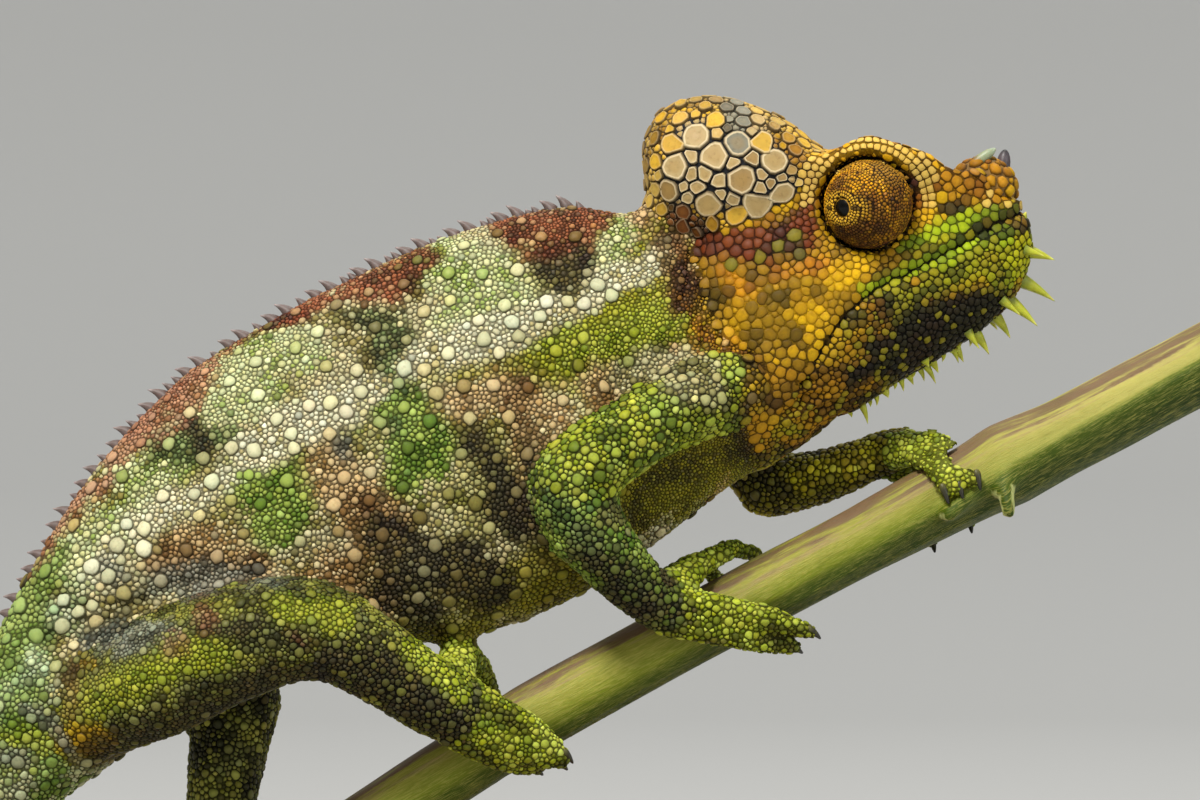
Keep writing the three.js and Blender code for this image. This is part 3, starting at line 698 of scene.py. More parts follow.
# Markings in the order they are laid on: tone, strength, softness of the edge, parts, then strokes,
# each through (x, z, radius) stations in the side view.
MARKINGS = (
    # flank: broad zones
    (PALE_GREEN, 0.95, 1.2, BODY, ((0, 88, 2.6), (3.4, 87, 3), (6, 85, 2.6), (2.4, 83, 2.6)),
     ((-19, 78, 2.2), (-15, 80.4, 2.6), (-11.5, 81, 2.2)), ((-18.3, 75.7, 2), (-15, 77.4, 2.2)),
     ((15.3, 90.6, 1.7), (14.6, 87.6, 1.6)), ((-31, 63, 2.6), (-27, 67, 2.6), (-23, 69.6, 2.4)),
     ((-27, 70.4, 1.8), (-22, 71.4, 1.8))),
    (LEAF, 0.95, 1.3, BODY, ((9.6, 80.6, 2), (14, 82.6, 2.6), (19, 83.8, 2.4)), ((11, 78.6, 1.8),
     (14, 80, 2.4))),
    (FERN, 0.95, 1.3, BODY, ((-4, 76.6, 2.1), (-1.4, 74.8, 2.6), (-1.6, 71.4, 2.6), (-3, 69.4, 1.6)),
     ((-17, 70, 2), (-12.6, 68.6, 2.6), (-13.4, 65.4, 2.4)), ((-8.4, 74, 1.2), (-11, 71.6, 1.4))),
    (OLIVE, 0.8, 1.5, BODY, ((2, 78.6, 1), (8.5, 79, 1.5)), ((13, 84.4, 1.4), (18.6, 86.6, 1.8))),
    (TAN, 0.9, 1.6, BODY, ((1, 76.4, 1.5), (5, 77, 2.2), (9.6, 75.4, 2)), ((-10, 73, 1.8), (-8, 69.4, 2.4),
     (-5.6, 65.6, 2.4)), ((-22.4, 64.8, 2), (-18.4, 63, 2.4), (-14.6, 61.4, 2.2)), ((-9, 62, 2.4),
     (-5, 59, 2.2)), ((13.6, 77.6, 1.8), (15.4, 73.6, 1.8))),
    (BELLY, 0.9, 2, BODY, ((3, 60, 2.4), (8, 60.8, 3.4), (14, 65, 3.2)), ((-4, 55.5, 2.6), (4, 56.5, 2.6))),
    (BREAST, 0.95, 1.4, CHEST, ((15, 66, 2), (20, 70, 3.4), (27, 73.4, 2.4)), ((13, 62, 1.6),
     (9, 59, 1.2))),
    (FOREST, 0.88, 1.2, BODY, ((-8.6, 84.2, 0.9), (-5, 82.6, 1.8), (-3.4, 79.6, 2.2), (-4.4, 77.6, 1.2)),
     ((-24, 72.8, 1.1), (-20.6, 72.4, 1.5), (-17.6, 73.6, 1.1)), ((-2.6, 77.2, 0.8), (-3.4, 74.4, 1))),
    (UMBER, 0.8, 1.3, BODY, ((-23, 63, 1.2), (-18.6, 61.6, 1.8), (-14.6, 62.6, 1.2)), ((6, 77, 1.4),
     (7.6, 73, 2.2), (8.4, 68, 2.4)), ((-7, 68, 1.4), (-3.6, 66.6, 1.8)), ((-12, 61, 1.4), (-8, 59, 1.6))),
    (COAL, 0.94, 1, BODY, ((3.4, 73, 1.3), (4.8, 70.6, 2), (6.4, 66.6, 2.2)), ((-4.6, 65.4, 1.7),
     (-1.4, 62.6, 2.6), (3.4, 61.6, 2.8)), ((-5.6, 60.6, 1.4), (-1, 58.6, 2)), ((7.4, 71.4, 1.2),
     (9.4, 66, 1.8)), ((-20.6, 74.2, 0.7), (-19.6, 72.6, 0.7))),
    (MEADOW, 0.92, 1.8, BODY, ((-32.6, 63.4, 1.2), (-35.6, 58.6, 2.6), (-37, 52, 4), (-42, 45, 4))),
    (CREAM, 0.93, 0.9, BODY, ((19.4, 89.4, 1.3), (17, 87.4, 1.5), (13.6, 86.4, 1.4), (9.1, 83.7, 1.5),
     (5.1, 82.4, 1.8), (1.2, 80.6, 1.9), (-2.2, 79.4, 1.2)), ((-5.6, 77.6, 1.2), (-7.4, 76.6, 1.8),
     (-11, 75, 1.9), (-13.6, 73.4, 2), (-16.2, 71.8, 1.4)), ((-18.2, 70, 1.5), (-20.4, 68.6, 1.4),
     (-24.9, 65.8, 1.4)), ((-27.4, 64.4, 0.9), (-30, 61, 0.9))),
    (SLATE, 0.85, 0.9, BODY, ((-8.1, 72.6, 0.7), (-7.8, 71.6, 0.5)), ((-29.4, 55.6, 0.8), (-25, 57, 1.2),
     (-21.6, 59, 0.9)), ((-28.4, 62.6, 0.7), (-27.4, 61.8, 0.5))),
    (MINT, 0.75, 1.4, BODY, ((-30.4, 61, 1), (-31.2, 58.6, 1.2)), ((-34, 54.4, 0.8), (-38, 50, 1))),
    (RUST, 0.96, 0.8, BODY, ((-26, 74.4, 0.9), (-20, 79.8, 0.8), (-14, 85.2, 0.9), (-6, 88.6, 1),
     (2, 92, 0.8), (10, 94.4, 0.9), (17.6, 95.2, 0.9)), ((5.4, 91.4, 1.5), (9.4, 90.6, 2.3),
     (13.4, 92.4, 1.6)), ((7.4, 88.8, 1), (11.6, 89.4, 1.2)), ((-8.4, 85.6, 1.3), (-4.6, 86.6, 2),
     (-1.8, 88.4, 1.5)), ((-15.6, 83.4, 1), (-12.6, 84, 1.4), (-9.6, 85, 1.2))),
    (COAL, 0.95, 0.9, BODY, ((8.4, 87.8, 1), (10.3, 87, 1.5), (12, 87.9, 1.2))),
    (SALMON, 0.9, 1.1, BODY, ((-24.4, 75, 1.6), (-22, 77, 1.7), (-19.6, 79, 1)), ((-28.4, 71.8, 1.2),
     (-26, 73.4, 1.4)), ((-38, 60.6, 0.8), (-33.6, 65.4, 1.1), (-30, 69, 1)), ((-30.6, 68.6, 1),
     (-28.6, 69.2, 1))),
    (DARK_RUST, 0.8, 0.8, BODY, ((6, 90, 0.7), (9, 88.8, 0.9)), ((-14, 83.2, 0.7), (-11, 83.4, 0.8)),
     ((-2.6, 86.6, 0.6), (-1.8, 85.8, 0.6))),
    # tail root
    (LEAF, 0.7, 1.4, RUMP, ((-36, 47, 1.6), (-30, 50.6, 1.4), (-22, 54.8, 1.4))),
    (UMBER, 0.6, 1.2, ("tail_base", "trunk", "thigh"), ((-30.4, 54, 0.8), (-30.8, 50, 1.2))),
    (AMBER, 0.8, 1, RUMP, ((-31.6, 47.6, 1.1), (-28.4, 48.2, 1.1)), ((-29.6, 54.4, 0.5),
     (-28.8, 54.2, 0.5))),
    (COAL, 0.85, 1.3, ("thigh", "tail_base", "trunk"), ((-28, 46.4, 1.2), (-19, 50.2, 1.8),
     (-15.4, 52.6, 1.5), (-9, 53.2, 1.6))),
    (SLATE, 0.8, 0.7, ("tail_base", "tail_second", "trunk"), ((-36.6, 51.4, 0.5), (-33, 49.6, 0.6),
     (-31, 47, 0.4)), ((-40, 46.6, 0.5), (-35, 46.4, 0.6))),
    # limbs
    (ASH, 0.85, 1.1, ("neck", "trunk", "upper_arm"), ((15.6, 78, 1), (19, 79.6, 1.6), (22.6, 79, 1.6)),
     ((20, 77.4, 1.2), (23.4, 77.4, 1))),
    (FOREST, 0.7, 1.2, ARM, ((7.4, 70.6, 1.2), (10.6, 66.6, 1.4), (13, 64.4, 1.4))),
    (COAL, 0.9, 1.2, ("forearm", "forefoot"), ((13.2, 63, 1.4), (16.6, 60.4, 2.4), (19.6, 58.6, 1.9))),
    (SOOT, 0.8, 1.4, FAR_ARM, ((25.6, 70.4, 1), (27.6, 69.8, 1.6),
     (29.6, 68.8, 1.1))),
    (COAL, 0.75, 1, "forefoot", ((28, 56.4, 0.9), (31.4, 56.4, 1.6)), ((21.4, 56.4, 0.8),
     (24.6, 56, 0.6))),
    (SLATE, 0.8, 1.1, ("thigh", "trunk"), ((-24, 60.4, 0.9), (-18.6, 61.8, 1.2), (-13.6, 61.8, 0.9)),
     ((-28, 56.4, 1.6), (-23.4, 57.4, 1.2))),
    (LEAF, 0.75, 1.3, "thigh", ((-13, 59, 1.2), (-6.4, 58.4, 1.6), (-3.4, 57.4, 1.4)), ((-24, 53.4, 0.8),
     (-18, 55, 1))),
    (SALMON, 0.5, 1, "thigh", ((-19.6, 59, 0.6), (-18.8, 58.4, 0.6)), ((-12, 57, 0.5), (-11, 56.6, 0.5)),
     ((-22.4, 56.4, 0.5), (-22, 55.8, 0.5))),
    (COAL, 0.6, 1.3, "thigh", ((-17, 57.6, 0.8), (-14.6, 58.6, 0.9)), ((-21, 60.4, 0.8),
     (-16, 61.4, 0.9))),
    (COAL, 0.92, 1.3, LEG, ((-8.6, 54.6, 1.6), (-5, 53.4, 2.4), (-1.4, 51, 2.4),
     (1.4, 48.8, 1.8))),
    (LIME, 0.8, 1, ("shank", "hindfoot"), ((-1.6, 55.4, 1), (1.6, 52.4, 1.2))),
    (COAL, 0.75, 0.9, "hindfoot", ((7.6, 45.4, 1), (11, 45, 1.6)), ((2, 47.4, 0.9), (4.6, 45.8, 0.8)),
     ((4.4, 50.8, 0.5), (7, 49, 0.6))),
    # neck
    (UMBER, 0.85, 1, NAPE, ((17.6, 92, 0.8), (19.4, 89, 1.2), (20.4, 85, 1.2)), ((22.8, 88, 0.9),
     (24, 84.6, 0.9))),
    (MAROON, 0.75, 0.9, NAPE, ((19.4, 92.4, 0.7), (20.6, 88.6, 0.9), (21, 84.6, 1)), ((21.6, 87, 0.4),
     (22.6, 83.4, 0.4))),
    (ORANGE, 0.85, 1.1, GORGE, ((21.8, 82.6, 0.9), (24.2, 80.8, 1.3), (26, 79.4, 1))),
    (THROAT, 0.9, 1, "upper_arm", ((26.6, 80.4, 1.6), (27.4, 77.4, 1.8), (27, 74, 1.6))),
    (SOOT, 0.7, 1, "upper_arm", ((24.8, 77.6, 0.3), (25.4, 75, 0.9), (25.4, 72.6, 0.8))),
    (THROAT, 0.9, 1.2, GORGE, ((24, 80, 1.2), (27, 77.4, 2.2), (33, 76.6, 2.2), (36, 78, 1.4)),
     ((25, 76.4, 1.4), (27, 73.2, 1.8))),
    (SOOT, 0.8, 1, ("neck", "jaw", "trunk"), ((23.4, 77.6, 0.5), (24.8, 75.2, 1.2), (26, 72.4, 1.4)),
     ((28.6, 79.2, 0.35), (33, 79, 0.5), (38.4, 79.6, 0.7)), ((32.6, 75.8, 0.6), (37, 77, 0.6))),
    # cheek and temple
    (ORANGE, 0.7, 1, "head", ((24, 86.4, 1.2), (26, 85.4, 1.2)), ((28.6, 87.2, 0.6), (33.4, 88, 0.8)),
     ((39.8, 92.4, 0.6), (41, 93.6, 0.7))),
    (YELLOW, 0.9, 0.9, FACE, ((33.4, 86.6, 1), (36, 88, 0.9), (41, 90.6, 0.7)), ((30.6, 84.6, 0.8),
     (33.4, 83.8, 0.8)), ((26.4, 84.6, 0.7), (27, 82.8, 0.7))),
    (AMBER, 0.85, 1.4, ("head", "neck"), ((23.6, 84, 1.6), (27.4, 82.6, 1.8), (29.6, 81, 1.2)),
     ((32.6, 90.2, 0.6), (33.6, 88.8, 0.6))),
    (MAROON, 0.96, 1.1, ("head", "casque"), ((20.2, 91.8, 1.5), (23, 89.9, 1.6), (27, 89.4, 1.9),
     (30.2, 90.3, 1.9), (31.2, 93, 1.1)), ((28.2, 88, 0.7), (28.4, 86.4, 0.6)), ((26.6, 87.4, 0.4),
     (27, 86, 0.35)), ((31.8, 87.4, 0.3), (32.2, 86.4, 0.3)), ((31.2, 96, 0.6), (31.6, 94.6, 0.4)),
     ((40.1, 95, 0.7), (40.5, 92.8, 0.5))),
    (BRONZE, 0.85, 1.4, FACE, ((28.6, 85.4, 1.2), (28.2, 82.6, 1.8)), ((23.4, 86, 1), (23, 83.6, 1.2))),
    (GREY_GREEN, 1, 0.4, "head", ((27, 88.7, 0.5),), ((28.8, 89.3, 0.6),), ((30.4, 88.7, 0.5),),
     ((30.2, 90.3, 0.55),), ((24.6, 88.1, 0.5),)),
    (LIP_GREEN, 0.96, 0.6, FACE, ((39.2, 89.4, 0.7), (43.4, 91.2, 0.9), (47, 92.6, 0.8), (49.6, 93.2, 0.6)),
     ((35.8, 85.6, 0.6), (38.6, 86.9, 0.8), (44, 89.4, 1), (48, 90.6, 1))),
    (LIME, 0.7, 1, "jaw", ((47.6, 86.4, 1), (50, 89.6, 1.2)), ((40, 85.4, 0.5), (45, 87, 0.6))),
    (OLIVE, 0.7, 0.9, "jaw", ((39, 85.2, 0.7), (44, 86.6, 0.9), (47, 88.6, 0.9))),
    (AMBER, 0.8, 0.9, "jaw", ((32.4, 81, 0.8), (36.4, 82.6, 0.8)), ((43, 85, 0.6), (46, 86, 0.6)),
     ((31, 79.6, 0.6), (36, 80.6, 0.6))),
    (SOOT, 0.96, 1, "jaw", ((36.6, 80.8, 1), (40.6, 82, 2.4), (44.6, 83.2, 2.2), (47.2, 84.6, 1.2)),
     ((35, 78.6, 1), (40.6, 80, 1.6)), ((38, 84.4, 0.3), (42.4, 86, 0.35)), ((35, 84.2, 0.35),
     (36.4, 85.2, 0.3))),
    (SOOT, 0.9, 0.6, FACE, ((43.4, 90, 0.3), (47.4, 91.9, 0.5), (49.6, 92.8, 0.45)), ((46, 90.2, 0.4),
     (50, 91.4, 0.5)), ((45.6, 92.4, 0.3), (47.6, 93.2, 0.3)), ((42.6, 92.6, 0.5), (43.8, 92.9, 0.6))),
    # brow, snout and casque
    (GOLD, 0.95, 1, ("casque", "head"), ((32.6, 97.4, 1.2), (36, 98.6, 1.4), (39.4, 98, 1.4),
     (42.6, 96.4, 0.8))),
    (SNOUT, 0.95, 0.9, "head", ((42, 95, 0.9), (45, 94.8, 1.6), (48.6, 94.6, 1.6))),
    (BONE, 0.95, 1, "casque", ((22, 98, 2.4), (21.6, 95.6, 2.8), (26, 95.4, 3.4), (29.4, 94, 1.6)),
     ((25, 100.6, 1.2), (27, 99, 1.2))),
    (SLATE, 0.85, 0.5, "casque", ((24.9, 99, 1.3), (25, 101, 1)), ((25.4, 91.4, 0.35), (27, 91.2, 0.4),
     (28.4, 91.9, 0.35))),
)
DARK_TONES = (COAL, FOREST, UMBER, DARK_RUST, SOOT, RUST)


def painted(points, parts, pick=None, pale=None):
    """The animal's colour at each point; scales bring a number each, and how pale they tend to be."""
    flat = points[:, [0, 2]]
    # the left side has other clouds than the right
    place = points + np.array([0, 60, 0]) * (points[:, 1:2] > 0)
    own = np.full(len(points), 0.5) if pick is None else pick
    calm = is_part(parts, HEAD)
    weight = np.where(calm, 0.08, 0.34)
    mottle = (1 - weight) * clouds(place, 1.9, 7) + weight * own
    edges = (clouds(place, 3.2, 21) - 0.5) * 3.4 + (noise(place, 1.1, 31) - 0.5) * 1.2
    edges = (edges + (own - 0.5) * 1.1) * np.where(calm, 0.6, 1)
    colours = np.zeros((len(points), 3))

    def mixed(row, chosen):
        turn = eased(mottle[chosen], row[2] - 0.11, row[2] + 0.11)[:, None]
        return row[1] + (row[0] - row[1]) * turn

    for names, first, second, size in GROUNDS:
        chosen = is_part(parts, names)
        stray = (own[chosen] - 0.5) * weight[chosen] * 0.5
        share = eased(clouds(place[chosen], size, 11) + stray, 0.4, 0.6)
        colours[chosen] = lay(mixed(first, chosen), mixed(second, chosen), share)
    for row, strength, soft, names, *strokes in MARKINGS:
        chosen = np.flatnonzero(is_part(parts, names))
        if not len(chosen):
            continue
        gap = stroke_distance(flat[chosen], *strokes)
        amount = eased(0.5 - (gap + edges[chosen] * min(soft, 1.1) * 0.75) / (1.3 * soft), 0, 1) * strength
        if pale is not None and any(row is dark for dark in DARK_TONES):
            amount = amount * (1 - 0.6 * pale[chosen])
        colours[chosen] = lay(colours[chosen], mixed(row, chosen), amount)
    grey = (colours @ (0.3, 0.59, 0.11))[:, None]
    vivid = np.where(calm[:, None], 1.35, 1.38 - 0.5 * np.minimum(grey / 0.42, 1))
    vivid = np.where(is_part(parts, "casque")[:, None], 1.1, vivid)
    return np.maximum(grey + (colours - grey) * vivid, 0.002)


LIMBS = (*ARM, *LEG)
LOOSE = (*BODY, "tail_second", *LIMBS)


def loosened(points, parts, spread=1.1):
    """The parts with ragged borders between those of the body and limbs."""
    shift = np.stack([clouds(points, 2.4, seed) - 0.5 for seed in (51, 54, 57)], 1) * 7
    shift += RANDOM.normal(0, spread * 0.5, points.shape)
    limbs = is_part(parts, LIMBS)[:, None]
    moved = nearest_nodes(points + shift * np.where(limbs, 0.25, 1))
    onto_limb = is_part(moved, LIMBS) & ~limbs[:, 0]
    both = is_part(parts, LOOSE) & is_part(moved, LOOSE) & ~onto_limb
    return np.where(both, moved, parts)


# ---- where the scales grow

# For each part: radius of its grains, radii and spacing of the middling scales, and radii and
# spacing of the large ones.
COATS = (
    ("trunk", 0.172, (0.25, 0.35), 0.98, (0.46, 0.68), 2.4),
    ("tail_base", 0.18, (0.29, 0.42), 0.95, (0.44, 0.6), 2),
    (("tail_second", "tail_third"), 0.2, (0.27, 0.36), 0.9, (0.38, 0.46), 2),
    (("tail_fourth", "tail_fifth", "tail_tip"), 0.17, (0.2, 0.25), 0.9, (0.26, 0.3), 2.2),
    ("neck", 0.155, (0.22, 0.3), 0.84, (0.32, 0.42), 2),
    ("upper_arm", 0.185, (0.27, 0.38), 0.74, (0.42, 0.58), 1.6),
    ("forearm", 0.185, (0.26, 0.34), 0.74, (0.36, 0.44), 1.6),
    ("thigh", 0.17, (0.25, 0.34), 0.8, (0.36, 0.5), 1.8),
    ("shank", 0.175, (0.25, 0.34), 0.76, (0.36, 0.46), 1.7),
    (("forefoot", "hindfoot"), 0.175, (0.26, 0.34), 0.7, (0.36, 0.42), 1.5),
    ("head", 0.26, (0.32, 0.4), 0.72, (0.42, 0.52), 1.05),
    ("jaw", 0.18, (0.25, 0.33), 0.62, (0.34, 0.42), 1.2),
    ("casque", 0.27, (0.42, 0.6), 0.8, (0.98, 1.32), 1.85),
    ("eye_turret", 0.12, (0.13, 0.15), 0.6, (0.14, 0.16), 0.9),
    (HORN, 0.3, (0.42, 0.5), 0.8, (0.5, 0.6), 1),
)
FIXED, LARGE, MIDDLING, GRAIN = range(4)
CROWN_PLATES = ((21.6, 98, 1.8), (21.4, 95.6, 2.6), (26, 95.4, 3.2), (29.4, 93.8, 1.4))
TOUCH = 0.86

edge_a, edge_b, edge_c = (cover_points[cover_triangles[:, k]] for k in range(3))
triangle_areas = length(np.cross(edge_b - edge_a, edge_c - edge_a)) / 2
triangle_middles = (edge_a + edge_b + edge_c) / 3
triangle_parts = cover_part[cover_triangles[:, 0]]

CHEST_SKIN = ((16, 66, 1.6), (20, 70, 3.4), (27, 73.4, 2.4))
# Where scales are of another size than their part's: the parts, the softness of the edge, the size
# inside and outside, and a stroke as for the markings.
SIZES = (
    ("casque", 1.4, 1, 0.6, ((22, 98, 2.6), (21.6, 95.6, 3), (26, 95.4, 3.6), (29.4, 94, 1.8))),
    ("trunk", 1.5, 0.78, 1, ((-26, 75, 1.6), (-14, 85.4, 2), (2, 92.2, 2.4), (10, 93.4, 3.2),
        (17.6, 95.2, 2))),
    ("trunk", 4, 1.22, 1, ((-34, 60, 4), (-26, 62, 4))),
    ("head", 1, 0.72, 1, ((30, 92, 1.6), (33, 88.4, 1), (38, 88.4, 1), (41, 92.6, 1.2))),
    (CHEST, 2, 0.9, 1, ((15, 81, 3), (19, 84, 3))),
    ("thigh", 3, 0.84, 1, ((-26, 55, 3), (-20, 58, 3))),
    (CHEST, 2, 0.74, 1, CHEST_SKIN),
)


def local_sizes():
    """How large the scales are at each triangle, against their part's usual size."""
    flat = triangle_middles[:, [0, 2]]
    sizes = 0.9 + 0.2 * clouds(triangle_middles, 5, 41)
    for names, soft, inside, outside, stroke in SIZES:
        share = eased(-stroke_distance(flat, stroke), -soft / 2, soft / 2)
        local = outside + (inside - outside) * share
        sizes *= np.where(is_part(triangle_parts, names), local, 1)
    return sizes


LOCAL_SIZES = local_sizes()


def by_part(column, pick=None):
    """A length of the table of coats for every triangle of the skin."""
    values = np.zeros(len(cover_triangles))
    for row in COATS:
        number = row[column] if pick is None else row[column][pick]
        values[is_part(triangle_parts, row[0])] = number
    return values * LOCAL_SIZES


def strewn(radius, gap, share):
    """Random places over the skin, crowded enough that scales of this radius can fill it."""
    room = np.maximum(radius * 2, gap)
    expected = triangle_areas / room ** 2 * share
    count = int(expected.sum())
    steps = np.cumsum(expected)
    chosen = np.searchsorted(steps, chance(count) * steps[-1])
    chosen = np.minimum(chosen, len(steps) - 1)
    u, v = chance((2, count))
    fold = u + v > 1
    u[fold], v[fold] = 1 - u[fold], 1 - v[fold]
    corners = cover_triangles[chosen]
    weights = np.c_[1 - u - v, u, v][:, :, None]
    return (cover_points[corners] * weights).sum(1), chosen


def normals_at(triangles, points):
    """The skin's smooth normals at points on its triangles."""
    corners = cover_triangles[triangles]
    return unit((cover_normals[corners] * corner_weights(cover_points[corners], points)).sum(1))


STRIPE = ((13.6, 86.2), (11, 85), (8.6, 83.6), (6.3, 82.9), (3.6, 81.4), (1, 80.2), (-2.6, 78.9),
          (-6.4, 77.2), (-9.2, 76), (-12.4, 73.8), (-15.4, 72.2), (-18.8, 69.6), (-20.4, 68.6),
          (-24.9, 65.8), (-26.9, 64), (-27.8, 61.6), (-29, 59.3), (-30.4, 58.6), (-32, 57.2))
STRIPE_KNOB = (0.6, 0.8)


# Round plates on the temple.
TEMPLE = ((27, 88.7), (28.8, 89.3), (30.4, 88.7), (30.2, 90.3), (24.6, 88.1), (25.8, 89.6))
TEMPLE_PLATE = (0.52, 0.72)


def side_knobs(spots, sizes):
    """Single scales at places in the side view, on both sides of the animal."""
    places, radii = [], []
    for side in SIDES:
        for x, z in spots:
            dx, dz, size = chance(3)
            start = (x + (dx - 0.5) * 0.5, SIGN[side] * 40, z + (dz - 0.5) * 0.5)
            hit = cover_tree.ray_cast(start, (0, -SIGN[side], 0))[0]
            if hit:
                places.append(hit)
                radii.append(sizes[0] + size * (sizes[1] - sizes[0]))
    return np.array(places), np.array(radii)


# Rows of shields: height over the mouth line, radius and spacing.
LIP_ROWS = ((0.52, 0.4, 0.84), (-0.5, 0.38, 0.78), (-1.15, 0.33, 0.68), (1.24, 0.38, 0.8),
            (-1.75, 0.32, 0.66), (-2.35, 0.3, 0.62), (-2.95, 0.3, 0.62))


def lip_shields():
    """Rows of shields above and below the mouth line, from its corners round the snout."""
    places, radii = [], []
    face = np.flatnonzero(is_part(triangle_parts, FACE))
    centres = cover_points[cover_triangles[face]].mean(1)
    centres = centres[centres[:, 0] > MOUTH_CORNER + 0.4]
    mouth = mouth_height(centres)
    for height, radius, spacing in LIP_ROWS:
        row = centres[np.abs(mouth - height) < 0.16]
        row = row[np.argsort(-row[:, 0])]
        kept = []
        for place in row:
            if all(np.linalg.norm(place - other) >= spacing for other in kept[-6:]):
                kept.append(place)
        places += kept
        radii += [radius] * len(kept)
    return np.array(places), np.array(radii)


# Rows of beads round each eye's socket: distance outside the turret, radius and lowest height.
SOCKET_ROWS = ((1.05, 0.29, -0.5), (1.62, 0.33, -0.1), (2.3, 0.38, 0.25))


def socket_beads():
    """Arcs of beads over each eye, on the brow's edge."""
    places, radii = [], []
    for side, centre, radius, _ in TURRETS:
        gaze = at(0, SIGN[side], 0.0)
        for out, bead, lowest in SOCKET_ROWS:
            reach = radius + out
            count = int(2 * math.pi * reach / (bead * 1.96))
            for turn in range(count):
                angle = turn * 2 * math.pi / count
                if math.sin(angle) < lowest:
                    continue
                start = centre + gaze * 9 + reach * at(math.cos(angle), 0, math.sin(angle))
                hit, _, triangle, _ = cover_tree.ray_cast(start, -gaze)
                if hit and is_part(triangle_parts[[triangle]], ("head", "casque"))[0]:
                    places.append(hit)
                    radii.append(bead * (0.88 + 0.2 * chance()))
    return np.array(places), np.array(radii)


LID_RINGS = 24


def turret_rings():
    """Grains in rings round each pupil, from the rim of the lids to the moat."""
    places, radii = [], []
    for side, centre, radius, gaze in TURRETS:
        first, up = square_to(gaze)
        start = (PUPIL_HOLE + 0.1) / radius
        for ring in range(LID_RINGS):
            grain = 0.115 + 0.03 * min(ring / 6, 1)
            angle = start + ring * 0.265 / radius + 0.02 * chance()
            count = int(2 * math.pi * radius * math.sin(angle) / (grain * 2.05))
            turns = (np.arange(count) + chance()) * 2 * math.pi / count
            turns += (chance(count) - 0.5) * 0.3 / count
            rays = gaze * math.cos(angle) + circle(-first, up, turns) * math.sin(angle)
            spots = centre + rays * (radius - TURRET_COAT)
            on, _ = nearest(cover_tree, spots)
            good = length(on - spots) < 0.14
            places.append(on[good])
            radii.append(np.full(good.sum(), grain) * (0.85 + 0.3 * chance(good.sum())))
    return np.concatenate(places), np.concatenate(radii)


def settle(places, radii, gaps, ranks):
    """Which scales find room, where those of a lower rank settle first."""
    tree = point_tree(places)
    widest = [radii[ranks >= rank].max() for rank in range(GRAIN + 1)]
    order = np.lexsort((-radii * (1 + 0.8 * chance(len(radii))), ranks))
    spots, sizes = places.tolist(), radii.tolist()
    apart, levels = gaps.tolist(), ranks.tolist()
    taken = bytearray(len(spots))
    kept = []
    for index in order.tolist():
        if taken[index]:
            continue
        kept.append(index)
        size, level, own = sizes[index], levels[index], apart[index]
        for _, other, gap in tree.find_range(spots[index], max(size + widest[level], own)):
            if gap < (size + sizes[other]) * TOUCH or (levels[other] == level and gap < own):
                taken[other] = 1
    return np.array(kept)


def buried(places, on_horn):
    """Places of the skin that lie under the horn's knob, and of the knob that lie in the skin."""
    low, high = horn_points.min(0) - 1.5, horn_points.max(0) + 1.5

    def close(points):
        return np.all((points > low) & (points < high), axis=1)

    around = close(skin_points[skin_quads[:, 0]])
    over = {False: face_tree(horn_points, horn_quads), True: face_tree(skin_points, skin_quads[around])}
    hidden = np.zeros(len(places), bool)
    for index in np.flatnonzero(close(places)):
        place = Vector(places[index])
        spot, normal, _, gap = over[bool(on_horn[index])].find_nearest(place)
        hidden[index] = (place - spot).dot(normal) < 0.04 and gap < 2
    return hidden


def left_bare(places, chosen, ranks):
    """Places without a scale: the pupils, the mouth line, and where only some ranks are wanted."""
    parts, flat = triangle_parts[chosen], places[:, [0, 2]]
    bare = buried(places, is_part(parts, HORN))
    for side, centre, radius, gaze in TURRETS:
        away = places - centre
        along = away @ gaze
        across = length(away - along[:, None] * gaze)
        bare |= (along > 0) & (across < PUPIL_HOLE + 0.02)
    face = is_part(parts, FACE) & (places[:, 0] > MOUTH_CORNER)
    bare |= face & (np.abs(mouth_height(places)) < 0.26) & (ranks != FIXED)
    chest = is_part(parts, CHEST) & ((ranks == LARGE) | (ranks == MIDDLING))
    bare |= chest & (stroke_distance(flat, CHEST_SKIN) < -0.3)
    crown = is_part(parts, "casque") & (ranks == GRAIN)
    return bare | (crown & (stroke_distance(flat, CROWN_PLATES) < -0.6))


def grow_scales():
    """Places, triangles, radii and ranks of all scales over the skin."""
    fixed = [side_knobs(STRIPE, STRIPE_KNOB), side_knobs(TEMPLE, TEMPLE_PLATE), lip_shields(),
             socket_beads(), turret_rings()]
    places, radii = (np.concatenate(rows) for rows in zip(*fixed))
    none = np.zeros(len(places))
    batches = [(places, nearest(cover_tree, places)[1], radii, none, none + FIXED)]
    turret = is_part(triangle_parts, "eye_turret")
    plated = is_part(triangle_parts, ("casque", "head", HORN))
    # the columns of COATS with a rank's radii and spacing
    for rank, size_column, gap_column in ((LARGE, 4, 5), (MIDDLING, 2, 3)):
        low, high, gap = by_part(size_column, 0), by_part(size_column, 1), by_part(gap_column)
        spots, on = strewn(low, gap, np.where(turret, 0, np.where(plated, 16, 4)))
        share = chance(len(spots))
        apart = gap[on] * (0.8 + 0.4 * chance(len(spots)))
        batches.append((spots, on, low[on] + (high - low)[on] * share, apart, np.full(len(spots), rank)))
    grain = by_part(1)
    spots, on = strewn(grain, grain * 2, np.where(turret, 2, 4))
    none = np.zeros(len(spots))
    batches.append((spots, on, grain[on] * (0.82 + 0.36 * chance(len(spots))), none, none + GRAIN))
    columns = [np.concatenate(rows) for rows in zip(*batches)]
    columns[4] = columns[4].astype(int)
    bare = left_bare(columns[0], columns[1], columns[4])
    places, chosen, radii, gaps, ranks = (column[~bare] for column in columns)
    kept = settle(places, radii, gaps, ranks)
    return places[kept], chosen[kept], radii[kept], ranks[kept]


